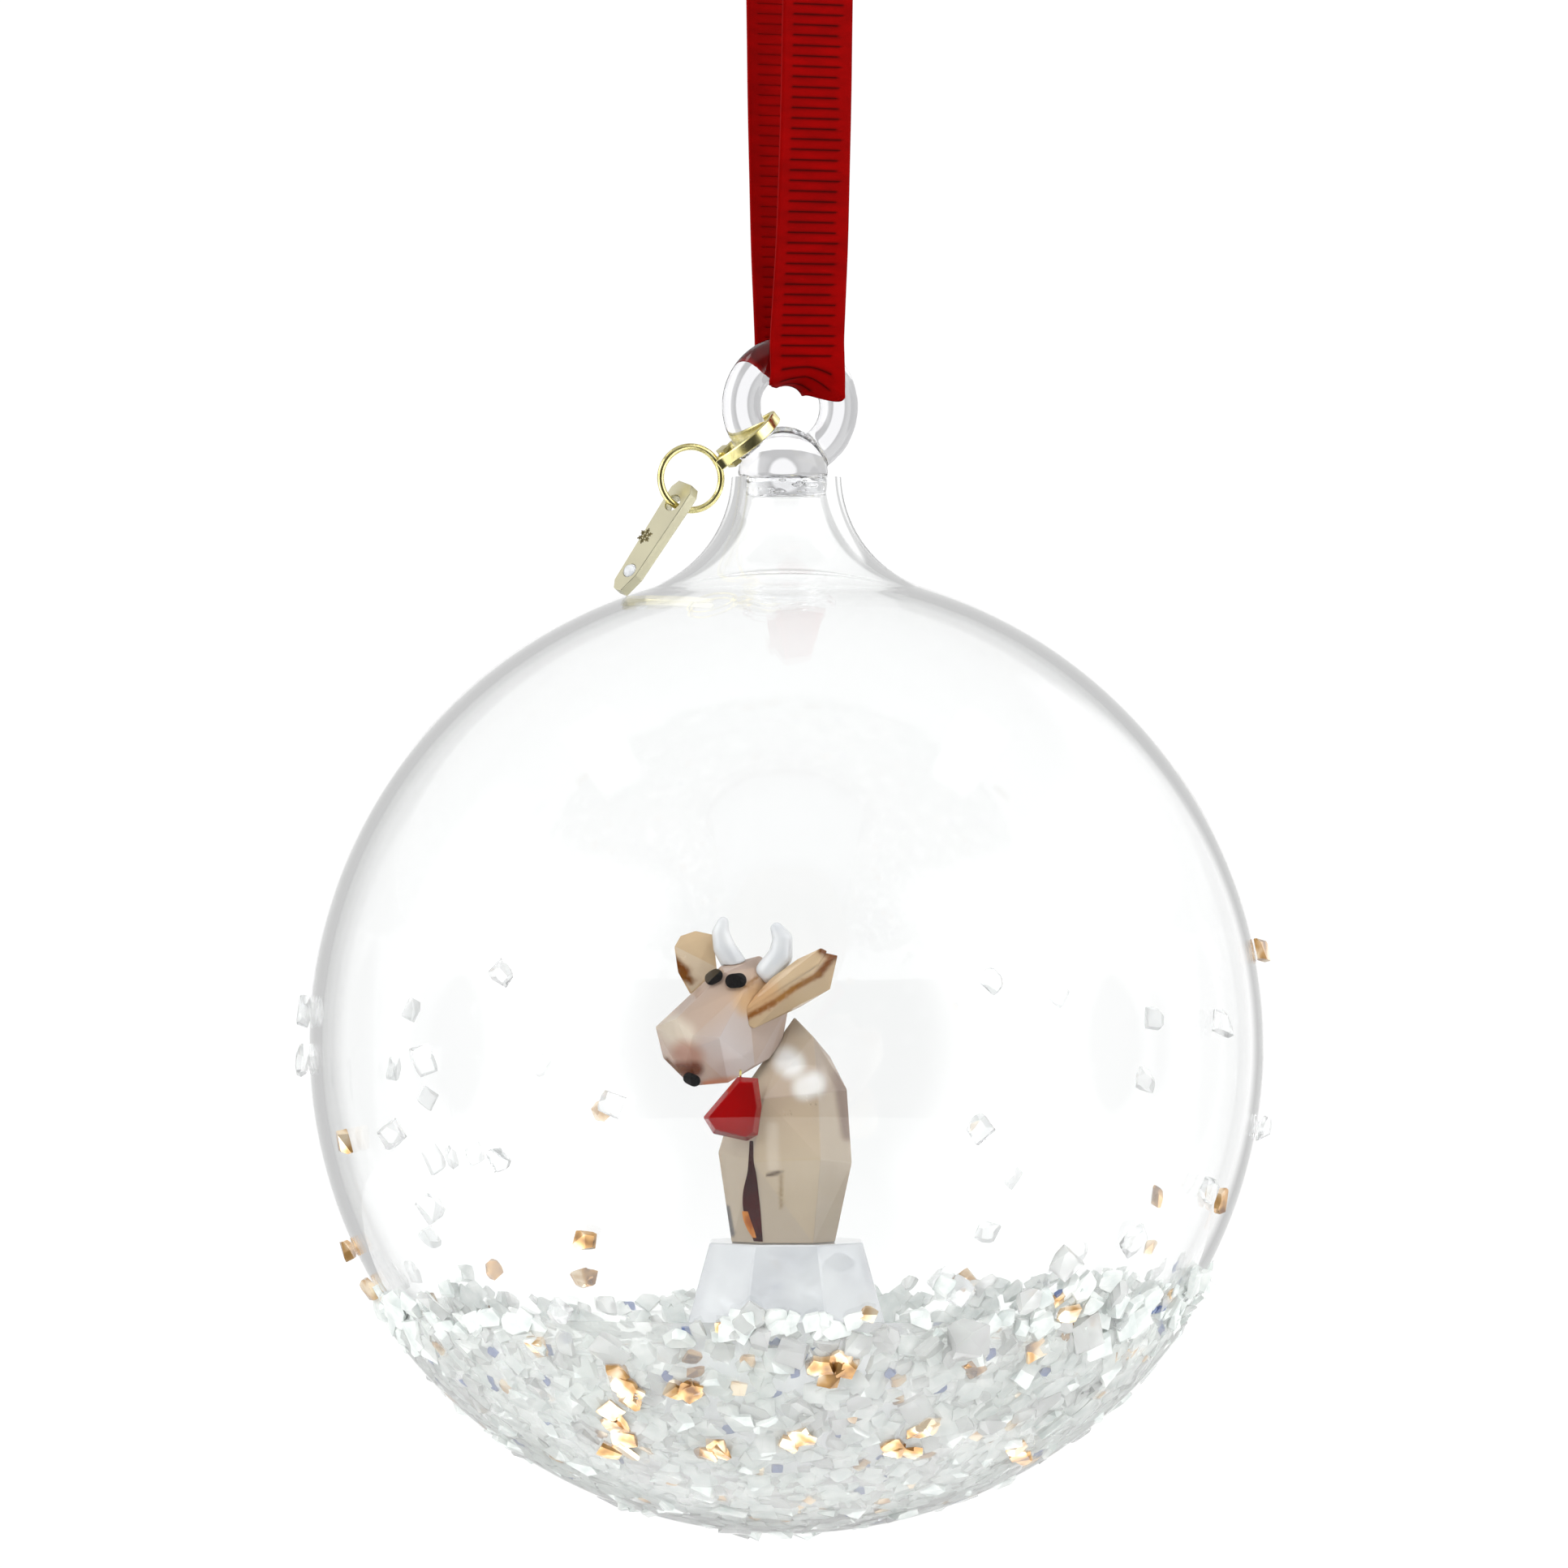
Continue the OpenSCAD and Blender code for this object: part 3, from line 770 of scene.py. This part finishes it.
def make_bed_glue(material):
    """The clear glue the bed is set in, run out thin at its edge."""
    outer = arc(0, 0, BALL_R + GLUE_THICK, -90, GLUE_TOP - 2.5, 60)
    lip = [polar(BALL_R + 0.6 * GLUE_THICK, GLUE_TOP - 1.5), polar(BALL_R + 0.03 * MM, GLUE_TOP)]
    inner = arc(0, 0, BALL_R + 0.01 * MM, GLUE_TOP, -90, 60)
    bm = lathe(outer + lip + inner, 160, closed=False)
    bmesh.ops.rotate(bm, verts=bm.verts, matrix=Matrix.Rotation(math.radians(-2), 3, RIGHT))
    bmesh.ops.translate(bm, verts=bm.verts, vec=BALL)
    glue = finish_mesh(bm, "bed_glue", crease=60)
    glue.visible_shadow = False  # clear glue throws no shade either
    place(glue, "ornament", "clear_resin", material)


def bed_directions(rng):
    """Places all over the bed, about a chip apart, thinning out above its edge."""
    for i in range(BED_SPOTS):
        down = 1 - (1 - math.cos(math.radians(BED_TOP))) * (i + rng.random()) / BED_SPOTS
        turn = GOLDEN_TURN * i + rng.uniform(-0.02, 0.02)
        out = math.sqrt(1 - down * down)
        direction = Vector((out * math.cos(turn), out * math.sin(turn), -down))
        direction = (direction + 0.012 * Vector([rng.gauss(0, 1) for _ in range(3)])).normalized()
        past = math.degrees(math.acos(-direction.z)) - bed_edge(direction)
        if past < 0 or rng.random() < 0.16 * math.exp(-past / 1.5):
            yield direction


def make_crystals(white, clear, faint, gold, blue):
    """The bed, its brighter stones, and the loose chips above it."""
    rng = random.Random(11)
    shapes = chip_shapes(14, 5)
    groups = {"white": [], "clear": [], "gold": [], "blue": []}
    for direction in bed_directions(rng):
        size = rng.choice(CHIP_SIZES) * rng.uniform(0.85, 1.15) * MM
        pick = rng.random()
        kind = "gold" if pick < 0.05 else "blue" if pick < 0.1 else "clear" if pick < 0.25 else "white"
        if kind == "gold":
            size = min(size, 1.3 * MM)
        if kind == "blue":
            size = 0.9 * MM
        groups[kind].append(ball_spot(direction, size, rng.uniform(0.0, 0.25), rng))
    for right, up in BED_GOLD:
        for _ in range(3):
            beside = (rng.uniform(-0.9, 0.9), rng.uniform(-0.7, 0.7))
            direction = seen_spot(right + beside[0], up + beside[1])
            groups["gold"].append(ball_spot(direction, GOLD_SIZE, 0.52, rng))
    for right, up, size in EDGE_CLEAR:
        groups["clear"].append(ball_spot(seen_spot(right, up), size * MM, 0.2, rng))
    glue_chips("white_bed_chips", groups["white"], shapes, "clear_chips", white, "crystal_bed")
    glue_chips("clear_bed_chips", groups["clear"], shapes, "clear_chips", clear)
    glue_chips("gold_bed_chips", groups["gold"], shapes, "gold_chips", gold)
    glue_chips("blue_bed_chips", groups["blue"], shapes, "clear_chips", blue)

    loose_clear = [seen_spot(*spot) for spot in LOOSE_CLEAR]
    loose_gold = [seen_spot(*spot) for spot in LOOSE_GOLD]
    for _ in range(26):
        up = -22 + 34 * rng.random() ** 2
        right = rng.choice((-1, 1)) * rng.uniform(0.4, 1) * math.sqrt(BALL_MM ** 2 - up * up)
        target = loose_gold if rng.random() < 0.3 else loose_clear
        target.append(seen_spot(right, up, behind=True))
    glue_chips("loose_clear_chips", [ball_spot(d, LOOSE_CLEAR_SIZE, 0.3, rng) for d in loose_clear],
               shapes, "clear_chips", faint, "crystals_clear")
    glue_chips("loose_gold_chips", [ball_spot(d, GOLD_SIZE, 0.3, rng) for d in loose_gold],
               shapes, "gold_chips", gold, "crystals_gold")


# ---- CAD nodes: their finishes, and stones cut from their shapes ----

def dress(material, *names):
    """Give CAD nodes that keep their own shape their finish."""
    for name in names:
        mesh = nodes[name].data
        mesh.materials.clear()
        mesh.materials.append(material)
        mesh.shade_flat()


def tint_at(place_on, base, patches):
    """The stone's colour there. A patch is its middle (right, up) on the figure in millimetres,
    its half width and half height, and its colour."""
    out = place_on - BALL
    right, up = out.dot(RIGHT) / MM, out.z / MM
    colour = Vector(base)
    for middle, level, width, height, tint in patches:
        off = ((right - middle) / width) ** 2 + ((up - level) / height) ** 2
        colour = colour.lerp(Vector(tint), math.exp(-off * off))
    return colour


def paint_facets(bm, base, patches, softness=0.4):
    """Each facet takes the colour at its middle, shaded a little towards each of its corners."""
    rng = random.Random(8)
    layer = bm.loops.layers.float_color.new("tint")
    for face in bm.faces:
        middle = tint_at(face.calc_center_median(), base, patches) * rng.uniform(0.93, 1.04)
        for loop in face.loops:
            colour = middle.lerp(tint_at(loop.vert.co, base, patches), softness)
            loop[layer] = (*colour, 1)


def paint_streaks(bm, streaks):
    """Streaks of colour that run across the facets. A streak is where it starts and ends
    (right, up), its half width, and its colour."""
    layer = bm.loops.layers.float_color["tint"]
    for _ in range(5):
        long = [e for e in bm.edges if e.calc_length() > 0.4 * MM]
        bmesh.ops.subdivide_edges(bm, edges=long, cuts=1)
        bmesh.ops.triangulate(bm, faces=[f for f in bm.faces if len(f.verts) > 3])
    for face in bm.faces:
        for loop in face.loops:
            out = loop.vert.co - BALL
            here = Vector((out.dot(RIGHT), out.z)) / MM
            colour = Vector(loop[layer][:3])
            for x0, z0, x1, z1, half, tint in streaks:
                start, run = Vector((x0, z0)), Vector((x1 - x0, z1 - z0))
                share = min(max((here - start).dot(run) / max(run.length_squared, 1e-9), 0), 1)
                off = (here - start - share * run).length
                colour = colour.lerp(Vector(tint), eased(1.35 - 0.7 * off / half))
            loop[layer] = (*colour, 1)


def cut_stone(node, name, slot, material, edge=0.07 * MM, body="ornament", base=None, patches=(),
              streaks=()):
    """The node's own shape as a polished stone, with its edges ground off a little."""
    bm = node_shape(node)
    bmesh.ops.remove_doubles(bm, verts=bm.verts, dist=1e-6)
    bmesh.ops.dissolve_limit(bm, angle_limit=math.radians(2), verts=bm.verts, edges=bm.edges)
    sharp = [e for e in bm.edges if e.is_manifold and e.calc_face_angle(0) > math.radians(8)]
    bmesh.ops.bevel(bm, geom=sharp, offset=edge, offset_type="OFFSET", affect="EDGES", segments=1,
                    profile=0.5, material=-1, clamp_overlap=True)
    outwards(bm)
    if base:
        paint_facets(bm, base, patches)
        paint_streaks(bm, streaks)
    bmesh.ops.triangulate(bm, faces=[f for f in bm.faces if len(f.verts) > 4])
    stone = finish_mesh(bm, name, smooth=False)
    return place(stone, body, slot, material, node)


def paint_refraction_sliver(node, name, outline, slot, material, rise=0.06 * MM):
    """A thin sliver let into the front of a stone, a painted refraction of what shows through it.
    Outline is (up, left, right) in millimetres, from its top down."""
    finder = face_finder(node)
    bm = bmesh.new()
    rows = []
    columns = 7
    for up, left, right in spline([Vector(row) for row in outline], 6):
        row = []
        for k in range(columns + 1):
            across = left + (right - left) * k / columns
            hit = front_at(finder, across, up)[0]
            row.append(bm.verts.new(hit - rise * AWAY))
        rows.append([bm.edges.new(pair) for pair in zip(row, row[1:])])
    for upper, lower in zip(rows, rows[1:]):
        bmesh.ops.bridge_loops(bm, edges=upper + lower)
    back = bmesh.ops.extrude_face_region(bm, geom=bm.faces[:])["geom"]
    bmesh.ops.translate(bm, verts=[v for v in back if isinstance(v, bmesh.types.BMVert)],
                        vec=0.25 * MM * AWAY)
    outwards(bm)
    return place(finish_mesh(bm, name, smooth=False), "ornament", slot, material)


def smooth_stone(node, name, slot, material):
    """The node's shape tumbled smooth."""
    bm = node_shape(node)
    bmesh.ops.remove_doubles(bm, verts=bm.verts, dist=1e-6)
    stone = melted(finish_mesh(bm, name), 0.09 * MM, 14)
    return place(stone, "ornament", slot, material, node)


# ---- Light ----

# How bright each part of the room is
BACKDROP = 1.06
PANEL = 2.8
PALE_CARD = 1.1  # beside the right panel, towards the back
STRIP = 3.5  # leaning out above each panel
SIDE_GREY = 0.6
FRONT_GREY = 0.06
TOP_GREY = 0.6
FLOOR_WHITE = 2.4  # low down at the sides and the back
SIDE_CARD = 0.62  # a grey card in the middle of each panel, behind a side view

LAMP_DISTANCE = 0.9
LAMP_SIZE = 0.6
# Each lamp's name, where it stands as (right, away, up), and its power
LAMPS = [("front_left_fill", (-0.6, -1, 0.5), 3.0),
         ("front_low_fill", (0.1, -1, -0.8), 5.4),
         ("front_right_fill", (1, -0.9, -0.4), 3.0),
         ("top_fill", (0.2, -0.5, 1), 2.5),
         ("back_fill", (0.3, 1, 0.3), 2.5)]
FLOOR_R = 0.45
FLOOR_DROP = 0.12  # under the ball's centre


def make_world():
    """A white backdrop behind the ornament, tall soft panels at both sides with narrow strips
    above them, and greys between them and overhead, so that the edges of clear glass show."""
    world = bpy.data.worlds.new("studio")
    bpy.context.scene.world = world
    world.use_nodes = True
    tree = world.node_tree
    tree.nodes.clear()
    coordinates = add_node(tree, "ShaderNodeTexCoord")

    def along(direction):
        facing = add_node(tree, "ShaderNodeVectorMath", operation="DOT_PRODUCT")
        facing.inputs[1].default_value = direction
        tree.links.new(coordinates.outputs["Generated"], facing.inputs[0])
        return facing.outputs["Value"]

    def between(value, low, high):
        step = add_node(tree, "ShaderNodeMapRange", interpolation_type="SMOOTHSTEP")
        step.inputs["From Min"].default_value = low
        step.inputs["From Max"].default_value = high
        tree.links.new(value, step.inputs["Value"])
        return step.outputs["Result"]

    def both(first, second):
        product = add_node(tree, "ShaderNodeMath", operation="MULTIPLY")
        tree.links.new(first, product.inputs[0])
        tree.links.new(second, product.inputs[1])
        return product.outputs["Value"]

    def paint(light, level, where):
        mixed = add_node(tree, "ShaderNodeMix", data_type="FLOAT")
        mixed.inputs[3].default_value = level
        tree.links.new(light, mixed.inputs[2])
        tree.links.new(where, mixed.inputs["Factor"])
        return mixed.outputs[0]

    def within(value, half):
        size = add_node(tree, "ShaderNodeMath", operation="ABSOLUTE")
        tree.links.new(value, size.inputs[0])
        return between(size.outputs["Value"], half * 1.4, half * 0.6)

    away, right, up = along(AWAY), along(RIGHT), along(Z)
    light = add_node(tree, "ShaderNodeValue")
    light.outputs[0].default_value = SIDE_GREY
    light = paint(light.outputs[0], FRONT_GREY, between(away, -0.3, -0.95))
    light = paint(light, TOP_GREY, between(up, 0.5, 0.85))
    light = paint(light, FLOOR_WHITE, both(between(up, -0.45, -0.85), between(away, -0.65, -0.35)))
    depth = both(between(away, -0.85, -0.5), between(away, 0.4, 0.1))
    height = between(up, 0.7, 0.5)
    for side in (-1, 1):
        panel = both(between(right, 0.35 * side, 0.5 * side), height)
        light = paint(light, PANEL, both(panel, depth))
    beside = both(between(right, 0.36, 0.46), height)
    light = paint(light, PALE_CARD, both(beside, between(away, 0.1, 0.3)))
    for side in (-1, 1):
        across = along((0.848 * RIGHT - side * 0.53 * Z).normalized())
        strip = both(both(within(across, 0.06), between(up, 0.3, 0.5)),
                     both(between(away, -0.2, -0.1), between(away, 0.3, 0.15)))
        facing = between(right, 0.1 * side, 0.3 * side)
        light = paint(light, STRIP, both(strip, facing))
    for side in (-1, 1):
        light = paint(light, SIDE_CARD, between(right, 0.955 * side, 0.98 * side))
    light = paint(light, BACKDROP, between(away, 0.972, 0.985))
    background = add_node(tree, "ShaderNodeBackground")
    background.inputs["Color"].default_value = (1, 1, 1, 1)
    tree.links.new(light, background.inputs["Strength"])
    output = add_node(tree, "ShaderNodeOutputWorld")
    tree.links.new(background.outputs["Background"], output.inputs["Surface"])


def fill_lamp(name, toward, power):
    """A big soft lamp that brightens the colours, but is not mirrored in the glass."""
    data = bpy.data.lights.new(name, "AREA")
    data.shape = "DISK"
    data.size = LAMP_SIZE
    data.energy = power
    lamp = new_object(name, data)
    side, away, up = toward
    direction = (side * RIGHT + away * AWAY + up * Z).normalized()
    lamp.location = BALL + LAMP_DISTANCE * direction
    lamp.rotation_euler = direction.to_track_quat("Z", "Y").to_euler()
    lamp.visible_glossy = False
    lamp.visible_transmission = False


def make_studio():
    """The room's light, the lamps and a floor."""
    make_world()
    for lamp in LAMPS:
        fill_lamp(*lamp)
    bm = bmesh.new()
    bmesh.ops.create_circle(bm, cap_ends=True, segments=96, radius=FLOOR_R)
    bmesh.ops.translate(bm, verts=bm.verts, vec=(0, 0, BALL.z - FLOOR_DROP))
    floor = finish_mesh(bm, "floor", smooth=False)
    floor.data.materials.append(floor_paint())
    floor.visible_glossy = False
    scene = bpy.context.scene
    scene.view_settings.view_transform = "Standard"
    scene.cycles.max_bounces = 32
    scene.cycles.transmission_bounces = 32
    scene.cycles.glossy_bounces = 8


# ---- Build ----

make_camera()
ribbon_red = grosgrain()
make_ribbon(ribbon_red)
make_ribbon_lap(ribbon_red)

blown = clear_glass("blown_glass", 0.04, density=1.46)
solid = clear_glass("solid_glass", 0.12, tint=(0.95, 0.95, 0.97))
make_blown_glass(blown)
make_base_cap(blown)
make_hanging_ring(solid)
make_neck_plug(clear_glass("plug_glass", 0.3, tint=(0.90, 0.90, 0.93), ripple=400),
               clear_glass("bubble_air", 0.0, tint=(0.98, 0.98, 0.98), density=0.7))

pale = (1.0, 1.0, 1.0)
stone = cut_crystal("champagne_crystal", (0.93, 0.92, 0.90), pale, 0.6, painted=True, density=1.38)
clear_stone = cut_crystal("cut_clear_crystal", shown(0.88, 0.89, 0.91), shown(0.97, 0.98, 0.99), 0.6)
resin = clear_glass("clear_resin", 0.3, (0.30, 0.24, 0.25))
ruby = cut_crystal("ruby_crystal", shown(0.44, 0.0, 0.0), shown(0.62, 0.0, 0.01), 0.85, 90, density=1.3)
black = jet()
milky = opal()
gold = pale_gold()
plate = satin_gold()
dress(resin, "plinth_seat")
cut_stone("plinth", "cut_plinth", "cut_clear_crystal", clear_stone, 0.12 * MM)
cut_stone("tag_stone", "set_stone", "cut_clear_crystal", clear_stone, 0.05 * MM, "tag")
cut_stone("cow_body", "body_stone", "champagne_crystal", stone,
          base=shown(0.82, 0.76, 0.68), patches=[
              (-0.6, -4.4, 2.6, 2.6, shown(0.80, 0.72, 0.66)),
              (0.6, -8.6, 2.4, 3.2, shown(0.79, 0.71, 0.57)),
              (4.2, -9.2, 1.4, 3.6, shown(0.90, 0.85, 0.79)),
              (0.4, -14.4, 4.2, 2.6, shown(0.75, 0.70, 0.63)),
              (-4.6, -10.6, 1.1, 4.4, shown(0.87, 0.81, 0.73)),
              (3.4, -3.0, 1.2, 2.4, shown(0.72, 0.66, 0.62)),
          ], streaks=[
              # the two white streaks at the top are painted highlights, and the grey streak low on the
              # left by the plinth is painted shade
              (0.0, -1.3, 0.4, -1.6, 0.85, shown(1, 1, 1)),
              (1.5, -3.5, 2.3, -3.2, 0.75, shown(1, 1, 1)),
              (-1.2, -6.8, -1.1, -10.0, 0.4, shown(0.87, 0.81, 0.73)),
              (4.5, -2.6, 5.2, -7.4, 0.5, shown(0.66, 0.59, 0.55)),
              (-1.5, -10.7, -0.5, -10.5, 0.12, shown(0.35, 0.27, 0.20)),
              (-0.45, -10.8, -0.4, -13.4, 0.12, shown(0.66, 0.58, 0.46)),
              (-4.9, -13.6, -4.5, -15.8, 0.18, shown(0.50, 0.49, 0.49)),
          ])
cut_stone("cow_head", "head_stone", "champagne_crystal", stone,
          base=shown(0.80, 0.72, 0.67), patches=[
              (-6.6, 3.6, 2.2, 1.8, shown(0.74, 0.65, 0.59)),
              (-4.0, 0.0, 2.6, 2.0, shown(0.86, 0.83, 0.83)),
              (-9.3, 1.0, 1.5, 1.3, shown(0.91, 0.86, 0.79)),
              (-2.8, 4.1, 1.6, 1.3, shown(0.84, 0.68, 0.50)),
              (-4.6, -2.6, 1.8, 0.6, shown(0.78, 0.62, 0.54)),
          ], streaks=[
              (-9.5, 1.5, -8.7, 0.9, 0.9, shown(0.90, 0.85, 0.78)),
              (-8.5, -0.6, -7.9, -0.9, 0.85, shown(0.74, 0.57, 0.50)),
              (-9.0, -1.95, -7.5, -1.9, 0.5, shown(0.40, 0.16, 0.0)),
              (-10.0, -1.2, -9.0, -2.2, 0.2, shown(0.42, 0.25, 0.08)),
              (-6.8, -3.1, -4.4, -2.8, 0.2, shown(0.86, 0.62, 0.50)),
              (-3.4, 4.9, -2.5, 5.6, 0.14, shown(0.55, 0.38, 0.22)),
              (-3.2, 3.6, -2.0, 4.2, 0.9, shown(0.88, 0.72, 0.54)),
          ])
for side in ("left", "right"):
    cut_stone("ear_" + side, side + "_ear_stone", "amber_crystal", stone, 0.04 * MM,
              base=shown(0.86, 0.76, 0.62), patches=[
                  (1.6, 6.4, 1.4, 0.6, shown(0.95, 0.90, 0.83)),
                  (-8.2, 7.2, 1.0, 0.8, shown(0.92, 0.87, 0.80)),
              ], streaks=[
                  (-3.4, 3.4, -1.6, 4.4, 0.8, shown(0.88, 0.72, 0.54)),
                  (3.9, 7.4, 2.7, 5.9, 0.26, shown(0.52, 0.30, 0.09)),
                  (3.0, 7.9, 4.2, 7.4, 0.3, shown(0.48, 0.27, 0.08)),
                  (2.7, 5.9, 0.6, 4.7, 0.2, shown(0.60, 0.40, 0.18)),
                  (0.6, 4.7, -1.1, 3.5, 0.2, shown(0.66, 0.46, 0.24)),
                  (-1.1, 3.5, -3.4, 2.3, 0.2, shown(0.60, 0.38, 0.18)),
                  (-9.7, 7.2, -8.5, 6.1, 0.36, shown(0.48, 0.27, 0.07)),
                  (-8.8, 5.8, -8.0, 5.3, 0.26, shown(0.50, 0.30, 0.10)),
              ])
# painted refraction: the dark red and amber streak that the ruby bell makes seen through the body, laid
# on its front as two slivers
paint_refraction_sliver("cow_body", "painted_bell_refraction", [(-7.9, -3.05, -2.75), (-9.6, -3.15, -2.7), (-10.6, -3.25, -2.5),
                                   (-12.2, -3.6, -2.3), (-13.6, -3.6, -2.15), (-15.0, -3.2, -2.05),
                                   (-16.3, -2.7, -1.95)],
      "ruby_crystal", cut_crystal("painted_red_refraction", shown(0.10, 0.0, 0.0), shown(0.26, 0.0, 0.0), 1.0, 300,
                                  density=1.01))
paint_refraction_sliver("cow_body", "painted_amber_refraction", [(-13.8, -3.7, -3.2), (-14.6, -3.55, -2.95), (-15.4, -3.2, -2.65),
                                   (-16.0, -2.8, -2.5)],
      "amber_crystal", cut_crystal("painted_amber_refraction", shown(0.62, 0.30, 0.05), shown(0.85, 0.55, 0.25),
                                   0.9, 900, density=1.2), 0.1 * MM)
smooth_stone("horn_left", "left_horn", "white_opal", milky)
smooth_stone("horn_right", "right_horn", "white_opal", milky)
for node in ("eye_left", "eye_right", "nose_tip"):
    cut_stone(node, node + "_stone", "jet_crystal", black, 0.03 * MM)
cut_stone("cow_bell", "ruby_bell", "ruby_crystal", ruby, 0.28 * MM)
make_bail(gold)
dress(gold, "bell_loop", "bail_sleeve", "jump_ring")
cut_stone("tag_plate", "tag_leaf", "pale_gold", plate, 0.22 * MM, "tag")
# the mark's dark gold is painted shade in its engraved lines
make_snowflake(pale_gold("engraving_shade_gold", shown(0.50, 0.46, 0.32), shown(0.34, 0.30, 0.20)))

white_chips = cut_crystal("white_chips", shown(0.86, 0.89, 0.88), shown(0.98, 0.99, 0.98), 0.85, 700,
                          density=1.35)
clear_chips = cut_crystal("clear_chips", shown(0.97, 0.98, 0.97), pale, 0.4, 300, density=1.4)
faint_chips = cut_crystal("faint_chips", shown(0.97, 0.98, 0.98), pale, 0.25, 300, density=1.2)
make_bed_glue(cut_crystal("bed_glue", shown(0.95, 0.96, 0.95), pale, 0.2, 120, density=1.3))
blue_chips = cut_crystal("blue_chips", shown(0.30, 0.38, 0.66), shown(0.60, 0.68, 0.85), 0.5, 300)
make_crystals(white_chips, clear_chips, faint_chips, gold_crystal(), blue_chips)

make_studio()
